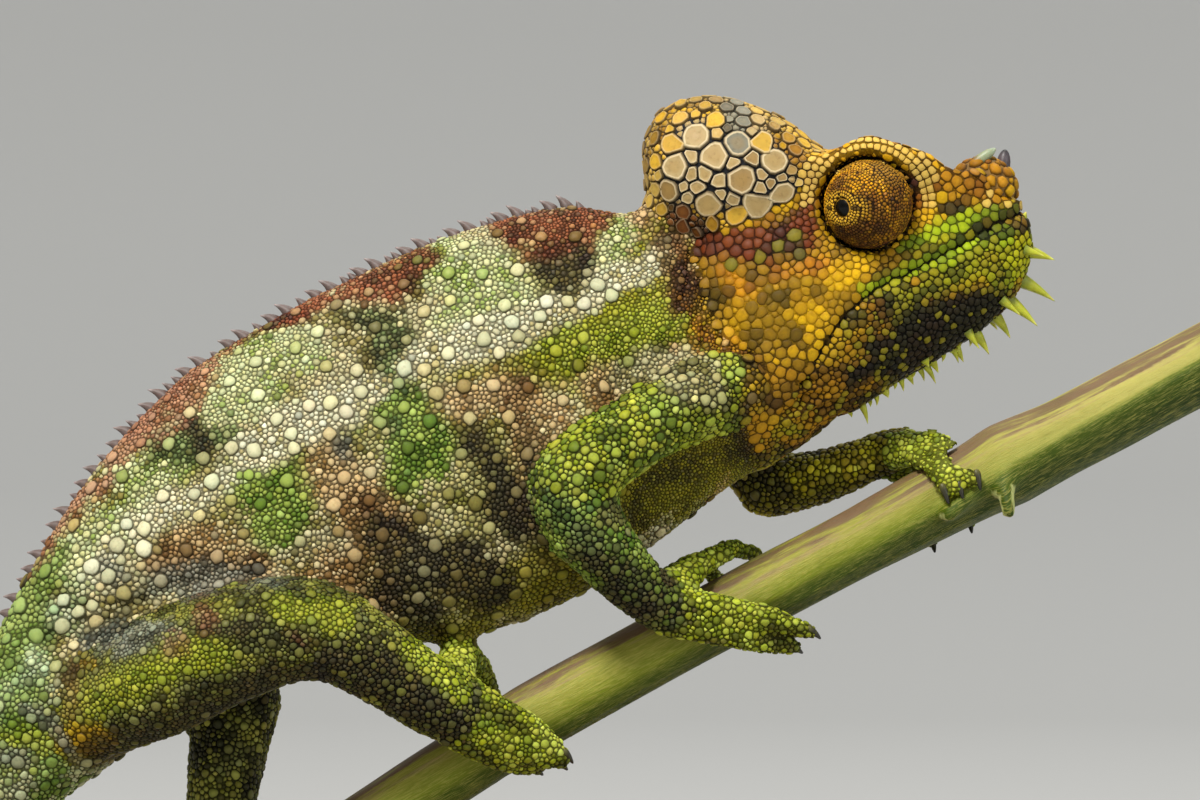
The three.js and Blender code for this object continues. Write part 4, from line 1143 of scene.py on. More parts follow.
# How many scales round each one are asked where they leave it room, counting itself.
NEIGHBOURS = 13


def neighbours(places):
    tree = point_tree(places)
    return np.array([[near[1] for near in tree.find_n(place, NEIGHBOURS)[1:]] for place in places.tolist()])


def outlines(places, normals, radii, near, sides, spread, chosen):
    """How far chosen scales reach each way before they meet their neighbours."""
    first, second = tangents(normals[chosen])
    toward = places[near[chosen]] - places[chosen][:, None]
    a = np.einsum("ijk,ik->ij", toward, first)
    b = np.einsum("ijk,ik->ij", toward, second)
    gap = np.maximum(np.hypot(a, b), 1e-6)
    own = radii[chosen][:, None]
    half = gap * own / (own + radii[near[chosen]])
    turns = even_turns(sides)
    lean = (a / gap)[:, :, None] * np.cos(turns) + (b / gap)[:, :, None] * np.sin(turns)
    reach = np.where(lean > 0.12, half[:, :, None] / np.maximum(lean, 0.12), np.inf)
    return np.minimum(reach.min(1), own * spread), first, second


def relaxed(places, triangles, radii, ranks, rounds=3):
    """The grains, and the head's larger scales, shifted to the middle of the room they have."""
    turns = even_turns(8)
    for _ in range(rounds):
        near = neighbours(places)
        normals = normals_at(triangles, places)
        broad = (ranks > FIXED) & is_part(triangle_parts[triangles], ("casque", "head"))
        moving = np.flatnonzero((ranks == GRAIN) | broad)
        reach, first, second = outlines(places, normals, radii, near, len(turns), 1.6, moving)
        shift = (first * (reach * np.cos(turns)).mean(1)[:, None]
                 + second * (reach * np.sin(turns)).mean(1)[:, None])
        places[moving], triangles[moving] = nearest(cover_tree, places[moving] + shift * 0.9)
    return places, triangles


scale_places, scale_triangles, scale_radii, scale_ranks = grow_scales()
scale_places, scale_triangles = relaxed(scale_places, scale_triangles, scale_radii, scale_ranks)
scale_normals = normals_at(scale_triangles, scale_places)
scale_near = neighbours(scale_places)
scale_parts = triangle_parts[scale_triangles]


# ---- finishes

class Channel:
    """A socket of a finish's nodes; numbers combine with it as Math nodes."""

    def __init__(self, finish, socket):
        self.finish = finish
        self.socket = socket

    def math(self, operation, *values):
        return self.finish.node("ShaderNodeMath", {"operation": operation}, values)

    def __add__(self, other):
        return self.math("ADD", self, other)

    def __sub__(self, other):
        return self.math("SUBTRACT", self, other)

    def __rsub__(self, other):
        return self.math("SUBTRACT", other, self)

    def __mul__(self, other):
        return self.math("MULTIPLY", self, other)

    __radd__ = __add__
    __rmul__ = __mul__

    def between(self, low, high):
        """0 where this is below low, 1 where it is above high, eased between."""
        settings = {"interpolation_type": "SMOOTHSTEP"}
        return self.finish.node("ShaderNodeMapRange", settings,
                                {"Value": self, "From Min": low, "From Max": high})


class Finish:
    """A material, made from nodes round one Principled shader."""

    def __init__(self, name, **constants):
        self.material = bpy.data.materials.new(name)
        self.material.use_nodes = True
        self.tree = self.material.node_tree
        self.shader = self.tree.nodes["Principled BSDF"]
        for socket, value in constants.items():
            self.shader.inputs[socket.replace("_", " ")].default_value = value

    def node(self, kind, settings=None, inputs=(), output=0):
        """Adds a node: its settings first, then its sockets by name or in order."""
        node = self.tree.nodes.new(kind)
        for name, value in (settings or {}).items():
            if name == "stops":
                self.set_stops(node.color_ramp, value)
            else:
                setattr(node, name, value)
        pairs = inputs.items() if isinstance(inputs, dict) else enumerate(inputs)
        for key, value in pairs:
            self.feed(node.inputs[key], value)
        return Channel(self, node.outputs[output])

    def feed(self, socket, value):
        """Links a channel to a socket, or sets a number or a colour on it."""
        if isinstance(value, Channel):
            self.tree.links.new(value.socket, socket)
        elif socket.type == "RGBA":
            socket.default_value = (*(shade(value) if isinstance(value, str) else value), 1)
        else:
            socket.default_value = value

    @staticmethod
    def set_stops(ramp, stops):
        while len(ramp.elements) < len(stops):
            ramp.elements.new(1)
        for element, (place, colour) in zip(ramp.elements, stops):
            element.position = place
            element.color = (*shade(colour), 1)

    def attribute(self, name, output="Fac"):
        return self.node("ShaderNodeAttribute", {"attribute_name": name}, output=output)

    def place(self):
        return self.node("ShaderNodeTexCoord", output="Object")

    def noise(self, scale, detail=3, roughness=0.55, vector=None):
        inputs = {"Scale": scale, "Detail": detail, "Roughness": roughness,
                  "Vector": vector or self.place()}
        return self.node("ShaderNodeTexNoise", None, inputs, output="Fac")

    def mix(self, amount, first, second, mode="MIX"):
        """A colour between two others."""
        settings = {"data_type": "RGBA", "blend_type": mode}
        return self.node("ShaderNodeMix", settings, {0: amount, 6: first, 7: second}, output=2)

    def ramp(self, value, stops):
        return self.node("ShaderNodeValToRGB", {"stops": stops}, [value], output="Color")

    def vector(self, operation, *values):
        return self.node("ShaderNodeVectorMath", {"operation": operation}, values)

    def bumped(self, height, strength, distance):
        bump = self.node("ShaderNodeBump", None,
                         {"Strength": strength, "Distance": distance, "Height": height})
        self.feed(self.shader.inputs["Normal"], bump)

    def wear(self, **channels):
        """Feeds the shader's sockets that vary over the surface."""
        for name, value in channels.items():
            self.feed(self.shader.inputs[name.replace("_", " ")], value)


def scale_finish(name, roughness, crevice_shade, gloss, rim=None, soft=0):
    """Scales painted by their own colour, with a painted highlight on the crown and painted shade in the
    crevices at the foot.
    """
    finish = Finish(name, Specular_IOR_Level=gloss, Subsurface_Weight=0.05, Subsurface_Scale=0.0004)
    paint = finish.attribute("paint", "Color")
    edge = finish.attribute("reach")
    tint = finish.attribute("tone")
    grain = finish.noise(2600, 2)
    # painted highlight: each scale's crown is lightened toward a warm white
    crown = finish.mix((1 - edge.between(0, 0.8)) * 0.3, paint, (1, 0.97, 0.84), "SOFT_LIGHT")
    if rim is not None:
        crown = finish.mix((1 - edge.between(0.3, 0.72)) * tint * 0.38, crown, "#86652c")
        crown = finish.mix(edge.between(0.72, 0.8) * tint * 0.85, crown, rim)
    speckled = finish.mix(grain.between(0.48, 0.75) * 0.28, crown, (0.3, 0.26, 0.18), "MULTIPLY")
    # painted shade: the foot of each scale is darkened in the crevice between scales; soft lessens it where
    # the tone is high
    depth = edge.between(0.8, 1) * crevice_shade
    if soft:
        depth = depth * (1 - soft * tint)
    foot = finish.mix(depth, speckled, (0.1, 0.085, 0.055), "MULTIPLY")
    finish.wear(Base_Color=foot, Roughness=roughness + 0.2 * edge + 0.12 * grain)
    finish.bumped(finish.noise(3400, 2) + 0.4 * finish.noise(900, 2), 0.22, 0.00005)
    return finish


BEADS = 4600


def skin_finish():
    """The skin between the scales: the same markings, darkened as painted shade in the gaps, with beads too
    small for a mesh.
    """
    finish = Finish("bare_skin", Specular_IOR_Level=0.1)
    paint = finish.attribute("paint", "Color")
    creases = finish.noise(2200)
    cells = finish.node("ShaderNodeTexVoronoi", None, {"Scale": BEADS, "Vector": finish.place()},
                        output="Distance")
    plain = finish.attribute("plain")
    # painted shade: the skin in the gaps between scales is darkened, varied by the creases noise and
    # lessened where plain
    dark = finish.mix((0.66 + 0.3 * creases) * (1 - 0.7 * plain), paint, (0.08, 0.07, 0.045), "MULTIPLY")
    bead = 1 - cells.between(0.15, 0.6)
    colour = finish.mix(bead * 0.25, dark, paint)
    finish.wear(Base_Color=colour, Roughness=0.6 + 0.2 * creases)
    finish.bumped(bead + 0.4 * creases, 0.6, 0.00008)
    return finish


# ---- making meshes

def ring_faces(rings, sides, cap_start=False, cap_end=False):
    """Quads between rings of points, and fans to a last and a first single point."""
    index = np.arange(sides)
    after = (index + 1) % sides
    quads = np.concatenate([np.stack([index + k * sides, after + k * sides, after + (k + 1) * sides,
                                      index + (k + 1) * sides], 1) for k in range(rings - 1)])
    fans, count = [], rings * sides
    if cap_end:
        last = (rings - 1) * sides
        fans.append(np.stack([index + last, after + last, np.full(sides, count)], 1))
        count += 1
    if cap_start:
        fans.append(np.stack([after, index, np.full(sides, count)], 1))
    return [quads, *([np.concatenate(fans)] if fans else [])]


def repeated(faces, count, per):
    """The faces of one small shape for many, whose points follow each other."""
    base = (np.arange(count) * per)[:, None, None]
    return [(base + rows[None]).reshape(-1, rows.shape[1]) for rows in faces]


def make_piece(name, points, faces, finish, slot, corner_uv=None, **attributes):
    """A mesh object from points in metres and a list of face arrays, with its attributes."""
    mesh = bpy.data.meshes.new(name)
    sizes = np.concatenate([np.full(len(f), f.shape[1]) for f in faces])
    loops = np.concatenate([f.ravel() for f in faces])
    mesh.vertices.add(len(points))
    mesh.vertices.foreach_set("co", np.asarray(points, np.float32).ravel())
    mesh.loops.add(len(loops))
    mesh.loops.foreach_set("vertex_index", loops.astype(np.int32))
    mesh.polygons.add(len(sizes))
    mesh.polygons.foreach_set("loop_start", np.r_[0, np.cumsum(sizes)[:-1]].astype(np.int32))
    mesh.update(calc_edges=True)
    mesh.shade_smooth()
    for key, values in attributes.items():
        values = np.asarray(values, np.float32)
        if values.ndim == 2:
            layer = mesh.attributes.new(key, "FLOAT_COLOR", "POINT")
            layer.data.foreach_set("color", np.c_[values, np.ones(len(values))].ravel())
        else:
            mesh.attributes.new(key, "FLOAT", "POINT").data.foreach_set("value", values)
    if corner_uv is not None:
        layer = mesh.uv_layers.new(name="OFBake")
        layer.uv.foreach_set("vector", np.asarray(corner_uv, np.float32)[loops].ravel())
    mesh.materials.append(finish.material)
    mesh.validate()
    piece = placed(name, mesh)
    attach(piece, "root")
    return piece


# The smooth yellow cheek, where the gaps between the scales are faint: the painted shade in them is
# lessened there.
CHEEK = (((24.6, 86.6, 1.6), (27, 84.6, 2), (31, 84.6, 2), (34.4, 86.6, 1.2)),
         ((26, 82.6, 1.4), (30, 82.4, 1.2)))


# The blue-grey skin between the casque's large plates.
CASQUE_FIELD = ((22, 98, 3), (21.6, 95.6, 3.4), (26, 95.4, 4), (29.4, 94, 2))


def skin_colours():
    """The skin's own markings, blue-grey under the casque's plates, with painted shade in the gaps on the
    jaw and limbs, in the mouth's groove, on the turrets and in their moats.
    """
    paint = painted(skin_points, loosened(skin_points, skin_part, 0))
    flat = skin_points[:, [0, 2]]
    cheek = eased(-stroke_distance(flat, *CHEEK), -1, 1)
    cheek = cheek * is_part(skin_part, FACE)
    # painted shade: the skin in the gaps between scales is darker on the jaw and limbs
    paint = lay(paint, paint * 0.55, is_part(skin_part, ("jaw", "forearm", "shank", "upper_arm")))
    inner = eased(-stroke_distance(flat, CASQUE_FIELD), -1, 1)
    paint = lay(paint, shade("#3d4046"), is_part(skin_part, "casque") * inner)
    # painted shade: the mouth's groove is painted near-black
    lips = is_part(skin_part, FACE) * (skin_points[:, 0] > MOUTH_CORNER)
    paint = lay(paint, INK, lips * np.exp(-(mouth_height(skin_points) / 0.3) ** 2))
    # painted shade: the skin between the eyelid grains is darkened
    turrets = is_part(skin_part, "eye_turret")
    paint = lay(paint, shade("#2a1c0a"), turrets * 0.7)
    # painted shade: the moat round each turret is painted near-black
    for side, centre, radius, gaze in TURRETS:
        ditch = length(skin_points - centre)
        paint = lay(paint, shade("#1c1006"), ((ditch > radius) & (ditch < radius + 0.4)) * 0.9)
    return paint, cheek


skin_paint, skin_plain = skin_colours()
skin_piece = make_piece("skin", skin_points * MM, [skin_quads], skin_finish(), "skin",
                        paint=skin_paint, plain=skin_plain)
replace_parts(skin_piece, *FLESH)


# ---- the coat

# Profiles: sides, half the gap to a neighbour, how far past its radius a scale may spread, and rings
# of (share of the reach, share of the height) from the foot to the crown.
PROFILES = {
    "grain": (6, 0.019, 1.6, (1, -0.3), (0.8, 0.64)),
    "pebble": (8, 0.022, 1.3, (1, -0.3), (0.86, 0.54), (0.52, 0.92)),
    "knob": (14, 0.03, 1.12, (1, -0.3), (0.94, 0.34), (0.74, 0.78), (0.4, 0.97)),
    "shield": (10, 0.012, 1.5, (1, -0.4), (0.93, 0.5), (0.7, 0.92)),
    "plate": (16, 0.045, 1.5, (1, -0.4), (0.96, 0.6), (0.86, 1), (0.74, 0.86), (0.4, 0.9)),
    "lid": (6, 0.016, 1.4, (1, -0.3), (0.68, 0.72)),
}
# Half the width of a scale's patch on the map.
PATCH = 0.0015


def scale_kinds():
    """The profile of every scale, and its height in millimetres."""
    kinds = np.full(len(scale_places), "grain", dtype=object)
    lift = scale_radii * 0.62
    face, casque = is_part(scale_parts, FACE), is_part(scale_parts, "casque")
    # which scales, their profile if it changes, and their height: a base and a share of the radius
    for chosen, kind, base, share in (
            (scale_ranks <= LARGE, "knob", 0, 0.44), (scale_ranks == MIDDLING, "pebble", 0, 0.54),
            (face, None, 0, 0.4), (face & (scale_radii > 0.24), "shield", 0, 0.4),
            (is_part(scale_parts, "head"), None, 0.045, 0.09),
            (casque, None, 0, 0.6), (casque & (scale_radii > 0.36), "plate", 0, 0.6),
            (casque & (scale_radii > 0.7), "plate", 0.2, 0),
            (is_part(scale_parts, HORN), "pebble", 0.08, 0.4),
            (is_part(scale_parts, "eye_turret"), "lid", 0, 0.42)):
        kinds[chosen] = kind or kinds[chosen]
        lift[chosen] = base + scale_radii[chosen] * share
    return kinds, lift


def coat_names():
    """The coat piece that every scale belongs to."""
    side = np.where(scale_places[:, 1] < 0, "right", "left")
    names = np.full(len(scale_places), "coat_face", dtype=object)
    for starts, name in (
            ("trunk", "coat_flank"), ("neck", "coat_neck"), ("casque", "coat_casque"),
            (HORN, "coat_horn"), (TAIL[:3], "coat_tail_root"), (TAIL[3:], "coat_tail_curl"),
            (ARM, "coat_arm"), (LEG, "coat_leg"), ("forefoot", "coat_forefeet"),
            ("hindfoot", "coat_hindfeet"), ("eye_turret", "coat_turret")):
        names[is_part(scale_parts, starts)] = name
    sided = np.isin(names, ("coat_flank", "coat_arm", "coat_leg", "coat_turret"))
    names[sided] = names[sided] + "_" + side[sided]
    flank = is_part(scale_parts, "trunk")
    third = np.digitize(scale_places[flank, 0], np.quantile(scale_places[flank, 0], (0.33, 0.67)))
    names[flank] = names[flank] + np.array(("_hind", "_middle", "_fore"), dtype=object)[third]
    return names


def unwrapped(points, quads, name):
    """An unwrap of part of the skin: its tree, and its triangles' corners in space and on the map."""
    mesh = bpy.data.meshes.new(name)
    used, index = np.unique(quads, return_inverse=True)
    faces = index.reshape(-1, 4)
    mesh.from_pydata(points[used].tolist(), [], faces.tolist())
    patch = placed(name, mesh)
    picked(patch)
    bpy.ops.object.mode_set(mode="EDIT")
    bpy.ops.mesh.select_all(action="SELECT")
    bpy.ops.uv.smart_project(angle_limit=math.radians(66), island_margin=0.012)
    bpy.ops.object.mode_set(mode="OBJECT")
    corners = np.empty(len(mesh.loops) * 2, np.float32)
    mesh.uv_layers[0].uv.foreach_get("vector", corners)
    corners = corners.reshape(-1, 4, 2)
    bpy.data.objects.remove(patch)
    triangles = halved(faces)
    return face_tree(points[used], triangles), points[used][triangles], halved(corners)


def map_places(patch, roots):
    """Where each root lies on an unwrap."""
    tree, corners, maps = patch
    at, chosen = nearest(tree, roots)
    return (maps[chosen] * corner_weights(corners[chosen], at)).sum(1)


def scales_of(kind, chosen, roots, count):
    """The chosen scales of one profile, after count points of others: points, quads, triangles, shares
    of the reach, paint, tones and places on the map."""
    sides, gap, spread, *rings = PROFILES[kind]
    reach, first, second = outlines(scale_places, scale_normals, scale_radii, scale_near, sides,
                                    spread, chosen)
    reach = np.maximum(reach - gap, reach * 0.7)
    turns = even_turns(sides)
    flat_x, flat_y = reach * np.cos(turns), reach * np.sin(turns)
    up = scale_normals[chosen]
    rows, shares, maps = [], [], []
    for share, height in (*rings, (0, 1)):
        x = (flat_x * share)[:, :, None] * first[:, None]
        y = (flat_y * share)[:, :, None] * second[:, None]
        rise = up * (scale_lift[chosen] * height)[:, None]
        layer = scale_places[chosen][:, None] + x + y + rise[:, None]
        spot = np.stack([flat_x, flat_y], -1) * share / reach.max(1)[:, None, None] * PATCH
        if share == 0:
            layer, spot = layer[:, :1], spot[:, :1]
        rows.append(layer)
        shares.append(np.full(layer.shape[:2], share))
        maps.append(spot + roots[:, None])
    per = sides * len(rings) + 1
    points = np.concatenate(rows, 1).reshape(-1, 3)
    spots = np.concatenate(maps, 1).reshape(-1, 2)
    reaches = np.concatenate(shares, 1).ravel()
    quads, fans = repeated(ring_faces(len(rings), sides, cap_end=True), len(chosen), per)
    paint, tint = np.repeat(scale_paint[chosen], per, 0), np.repeat(scale_tone[chosen], per)
    return points, quads + count, fans + count, reaches, paint, tint, spots


scale_kind, scale_lift = scale_kinds()
scale_coat = coat_names()
scale_pick = chance(len(scale_places))
PALENESS = np.array([1, 0.55, 0.3, 0])


def tinted_scales():
    """The colour and the tone of every scale: stray ones, pale tubercles, and the eyelids' pattern, with
    painted shade under the turrets and a painted lit band over their tops.
    """
    pale = PALENESS[scale_ranks]
    face = is_part(scale_parts, HEAD)
    pale[face] = 0
    paint = painted(scale_places, loosened(scale_places, scale_parts), scale_pick, pale)
    wild = np.where(face, 0.34, 1)
    body = ~face & ~is_part(scale_parts, "eye_turret")
    paint = lay(paint, np.minimum(paint * 1.3 + 0.02, 0.54), (0.12 + 0.38 * pale) * body)
    knobs = (scale_ranks == FIXED) & is_part(scale_parts, ("trunk", "tail_base"))
    paint = lay(paint, shade("#b3b590"), 0.75 * knobs)
    beads = (scale_ranks == FIXED) & face & (scale_places[:, 2] > TURRET["right"][0][2])
    paint = lay(paint, shade("#d0ae57"), 0.7 * beads)
    strays = chance(len(scale_places))
    paint = lay(paint, paint * 0.45, 0.7 * (strays < 0.07) * (~face & (scale_ranks > LARGE)))
    paint = lay(paint, paint * 1.35 + 0.02, 0.8 * wild * (strays > 0.92))
    paint *= 1 + 0.32 * wild[:, None] * (chance((len(paint), 1)) - 0.5)
    paint *= 1 + (wild * (chance(len(paint)) - 0.5))[:, None] * (0.16, 0.02, -0.14)
    tint = np.zeros(len(paint))
    casque = is_part(scale_parts, "casque")
    flat = scale_places[:, [0, 2]]
    tint[casque] = eased(-stroke_distance(flat[casque], CROWN_PLATES), -1, 0.8)
    tint[casque] = np.maximum(tint[casque], 0.25)
    cheek = is_part(scale_parts, FACE)
    tint[cheek] = eased(-stroke_distance(flat[cheek], *CHEEK), -1, 1)
    jaw = is_part(scale_parts, "jaw") & (chance(len(paint)) < 0.2)
    paint = lay(paint, shade("#7d7414"), jaw * 0.7)
    for side, centre, radius, gaze in TURRETS:
        lids = np.flatnonzero(is_part(scale_parts, "eye_turret_" + side))
        away = scale_places[lids] - centre
        first, up = square_to(gaze)
        angle = np.arccos(np.clip(unit(away) @ gaze, -1, 1)) * radius
        turn = np.arctan2(away @ up, away @ first)
        arcs = np.c_[angle * 3, np.cos(turn) * 1.6, np.sin(turn) * 1.6]
        own = paint[lids] * (0.3 + 1.4 * noise(arcs, 1, 3))[:, None]
        # painted shade: the turret's grains darken toward the underside of the dome
        low = eased(-scale_places[lids, 2] + centre[2], -1.2, 2.6)
        own = lay(own, own * 0.4, low * 0.9)
        almond = np.hypot(away @ first / 2.4, away @ up / 1.5)
        rim = 1 - eased(almond, 0.7, 1.15)
        own = lay(own, shade("#c79a28") * (0.75 + 0.5 * scale_pick[lids, None]), rim * 0.85)
        slit = (np.abs(away @ up) < 0.14) & (angle < 2.2) & (angle > 1)
        own = lay(own, INK, slit * 0.85)
        # painted light: a lighter gold band over the top of the turret
        top = (1 - eased(np.abs(turn - math.pi / 2), 0.7, 1.3)) * eased(angle, 3.2, 4.4)
        paint[lids] = lay(own, shade("#b98a2a"), top * 0.4)
    return np.clip(paint, 0.003, 0.85), tint


scale_paint, scale_tone = tinted_scales()

SCALE_SKIN = scale_finish("granular_scales", 0.4, 0.95, 0.17)
SCALE_FACE = scale_finish("face_shields", 0.38, 0.9, 0.16, soft=0.75)
SCALE_CASQUE = scale_finish("casque_plates", 0.38, 0.9, 0.22, "#d2bf98")
SCALE_TURRET = scale_finish("eyelid_grains", 0.4, 0.7, 0.14)
FINISH_OF = {"coat_face": (SCALE_FACE, "skin"), "coat_horn": (SCALE_FACE, "horn"),
             "coat_casque": (SCALE_CASQUE, "casque"),
             "coat_turret_right": (SCALE_TURRET, "eyelid"), "coat_turret_left": (SCALE_TURRET, "eyelid")}


def grow_coat():
    """One mesh of scales for each region of the animal."""
    coarse_points, coarse_quads = coarse_skin
    coarse_quads = np.concatenate([coarse_quads, horn_quads + len(coarse_points)])
    coarse_points = np.concatenate([coarse_points, horn_points])
    centres = coarse_points[coarse_quads].mean(1)
    lookup = point_tree(scale_places)
    owner = scale_coat[[lookup.find(c)[1] for c in centres.tolist()]]
    for name in sorted(set(scale_coat)):
        patch = unwrapped(coarse_points, coarse_quads[owner == name], name + "_unwrap")
        members = np.flatnonzero(scale_coat == name)
        roots = map_places(patch, scale_places[members])
        made, count = [], 0
        for kind in PROFILES:
            among = scale_kind[members] == kind
            if among.any():
                made.append(scales_of(kind, members[among], roots[among], count))
                count += len(made[-1][0])
        points, quads, fans, reach, paint, tint, spots = (np.concatenate(rows) for rows in zip(*made))
        finish, slot = FINISH_OF.get(name, (SCALE_SKIN, "skin"))
        make_piece(name, points * MM, [quads, fans], finish, slot, spots, paint=paint, reach=reach,
                   tone=tint)


grow_coat()


# ---- spines

SPINE_SIDES = 10
# Pointed and blunt spines: (share of the length, share of the width).
SPINE_RINGS = ((0, 1.12), (0.14, 0.98), (0.34, 0.76), (0.56, 0.52), (0.76, 0.3), (0.92, 0.13))
KNOB_RINGS = ((0, 1), (0.25, 1.02), (0.5, 0.97), (0.7, 0.82), (0.86, 0.56), (0.96, 0.28))


def spine_tips(node, bare, least):
    """The tips that stand out of a node's shape without spines, with how far they stand out."""
    points = np.unique(node_mesh(node)[0].round(3), axis=0)
    height = sampled(*bare, points)
    order = np.argsort(-height)
    tips = []
    for index in order[height[order] > least]:
        if all(np.linalg.norm(points[index] - tip) > 0.75 for tip, _ in tips):
            tips.append((points[index], height[index]))
    return tips


def spine(tip, foot, width, bend, rings):
    """One curved spine as points and the share of its length of each, foot first."""
    axis = tip - foot
    first, second = square_to(axis)
    turns = even_turns(SPINE_SIDES)
    rows, along = [], []
    for share, size in rings:
        centre = foot + axis * share + bend * math.sin(math.pi * share)
        ridge = 1 + 0.06 * np.cos(turns * 5)
        rows.append(centre + circle(first, second, turns) * ridge[:, None] * width * size)
        along.append(np.full(SPINE_SIDES, share))
    rows.append(tip[None])
    along.append([1])
    return np.concatenate(rows), np.concatenate(along)


def spine_finish(name, root, body, point, rough):
    """Horny spines that change colour from foot to tip."""
    finish = Finish(name, Specular_IOR_Level=0.5, Subsurface_Weight=0.1, Subsurface_Scale=0.0006)
    share = finish.attribute("reach")
    streak = finish.noise(1500)
    low = finish.mix(share.between(0, 0.35), root, body)
    colour = finish.mix((share + 0.25 * streak).between(0.75, 1.15), low, point)
    mottled = finish.mix(streak.between(0.45, 0.75) * 0.4, colour, (0.3, 0.27, 0.22), "MULTIPLY")
    finish.wear(Base_Color=mottled, Roughness=rough + 0.2 * streak)
    finish.bumped(streak, 0.3, 0.00008)
    return finish


def spine_piece(name, rows, finish, slot, rings=SPINE_RINGS):
    """Many spines as one mesh; rows hold tip, foot, width and bend."""
    points, along = zip(*[spine(*row, rings) for row in rows])
    count, per = len(rows), len(points[0])
    faces = repeated(ring_faces(len(SPINE_RINGS), SPINE_SIDES, cap_end=True), count, per)
    grid = math.ceil(math.sqrt(count))
    cell = np.repeat(np.stack(np.divmod(np.arange(count), grid), 1), per, 0)
    shares = np.concatenate(along)
    turn = np.tile(np.r_[np.tile(np.arange(SPINE_SIDES), len(SPINE_RINGS)), 0], count)
    spread = (1 - shares)[:, None] * flat_circle(turn * 2 * math.pi / SPINE_SIDES) * 0.42
    make_piece(name, np.concatenate(points) * MM, faces, finish, slot, (cell + 0.5 + spread) / grid,
               reach=shares)


def foot_of(point):
    """The nearest point of the skin to one point."""
    return nearest(cover_tree, point[None])[0][0]


def feet_free(rows, room):
    """A test of whether a place is this far from the feet of all spines so far."""
    feet = np.array([row[1] for row in rows])
    return lambda place: length(feet - np.array(place)).min() > room


def crest_rows():
    """The crest's spines, leaning tailward, with low cones between them."""
    rows = []
    for tip, height in spine_tips("trunk", BARE_BODY, 0.5):
        foot = foot_of(tip + at(0.75, 0, -0.3))
        rise = tip - foot
        rows.append((foot + rise * 0.88 + at(-0.2, 0, -0.1), foot - rise * 0.25, 0.6,
                     at(0.12, 0, 0.14)))
    stations = [row[1][0] for row in rows]
    free = feet_free(rows, 0.85)
    for x in np.arange(min(stations) - 3, max(stations) + 1.5, 0.62):
        hit, normal, _, _ = cover_tree.ray_cast((x, 0, 120), (0, 0, -1))
        if hit and free(hit):
            foot, size = np.array(hit), 0.42 + 0.3 * chance()
            tip = foot + (np.array(normal) + at(-0.55, 0, -0.1)) * size
            rows.append((tip, foot - np.array(normal) * 0.2, 0.42, at(0.03, 0, 0.04)))
    return rows


# Where fine spines fill the beard: first and last x, and their spacing.
FRINGE = (34.6, 46, 0.72)


def beard_rows():
    """The beard's spines, the longer ones with a second beside them, and fine ones between."""
    rows = []
    for tip, height in spine_tips("jaw", BARE_JAW, 0.55):
        if height < 0.9 and tip[0] < MOUTH_CORNER + 2 or tip[0] < MOUTH_CORNER - 1:
            continue
        foot = foot_of(tip)
        foot = foot + (foot - tip) * (0.35 / max(np.linalg.norm(foot - tip), 0.1))
        rows.append((tip, foot, min(0.62, 0.34 + 0.1 * height), at(0.12, 0, 0.06) * height / 3))
        if height > 0.9:
            side = SIGN["right" if tip[1] < 0 else "left"]
            low = foot_of(foot + at(-0.7, side, 0.2))
            rows.append((low + (tip - foot) * (0.5 + 0.3 * chance()), low, 0.4, np.zeros(3)))
    free = feet_free(rows, 0.5)
    for step, x in enumerate(np.arange(*FRINGE)):
        size, stray, lean = chance(3)
        start = (x + 0.5 * stray, 0.3 - 0.6 * (step % 2), 73.5)
        hit = cover_tree.ray_cast(start, (0, 0, 1))[0]
        if hit and free(hit):
            foot = np.array(hit)
            tip = foot + at(0.7 * lean - 0.1, 0, -1) * (0.5 + 1.2 * size)
            rows.append((tip, foot + (foot - tip) * 0.2, 0.26 + 0.12 * size, at(0.1, 0, 0)))
    return rows


def horn_row(side, shift, back, width):
    """The small blunt point on one side of the horn's knob."""
    points = np.unique(node_mesh(HORN)[0].round(3), axis=0)
    half = points[points[:, 1] * SIGN[side] > 0.3]
    tip = half[half[:, 2].argmax()] + at(shift, 0, -0.05)
    return [(tip, tip - np.array(back), width, np.zeros(3))]


CREST = spine_finish("crest_spine", "#4c3329", "#5d4d48", "#948a88", 0.45)
BEARD = spine_finish("beard_spine", "#6d7714", "#a9ad1c", "#cfcf62", 0.4)
HORN_DARK = spine_finish("dark_horn_tip", "#8a6a2c", "#4d4449", "#23201f", 0.35)
HORN_PALE = spine_finish("pale_horn_tip", "#7d6128", "#8b9674", "#9aa88c", 0.35)
spine_piece("crest_spines", crest_rows(), CREST, "skin")
spine_piece("beard_spines", beard_rows(), BEARD, "skin")
spine_piece("horn_tip_left", horn_row("left", 0.5, (0.3, 0, 2), 0.6), HORN_DARK, "horn", KNOB_RINGS)
spine_piece("horn_tip_right", horn_row("right", -0.4, (1.7, 0, 1.2), 0.46), HORN_PALE, "horn",
            KNOB_RINGS)


def knob_finish():
    finish = Finish("horn_skin", Specular_IOR_Level=0.35)
    lumps = finish.noise(1400)
    colour = finish.ramp(lumps, ((0.3, "#4a3410"), (0.7, "#8a6420")))
    finish.wear(Base_Color=colour, Roughness=0.55 + 0.2 * lumps)
    finish.bumped(lumps, 0.3, 0.0001)
    return finish


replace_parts(make_piece("horn_knob", horn_points * MM, [horn_quads], knob_finish(), "horn"), HORN)


# ---- eyes

PUPIL, IRIS = 0.74, 0.79
EYE_SIDES, EYE_RINGS = 40, 26


def eye_finish():
    """A wet eye: black pupil, thin gold ring, dark ball."""
    finish = Finish("wet_eye", Specular_IOR_Level=0.12, Coat_Roughness=0.05, Coat_IOR=1.25)
    off = finish.attribute("off_axis")
    fibres = finish.noise(5200)
    gold = finish.mix(fibres, "#8a5a14", "#c79a35")
    iris = finish.mix((off + 0.03 * fibres).between(PUPIL, PUPIL + 0.04), "#050403", gold)
    colour = finish.mix(off.between(IRIS, IRIS + 0.08), iris, "#1b120a")
    finish.wear(Base_Color=colour, Roughness=0.2 + 0.2 * off.between(0, 1.2),
                Coat_Weight=0.3 - 0.1 * fibres)
    return finish


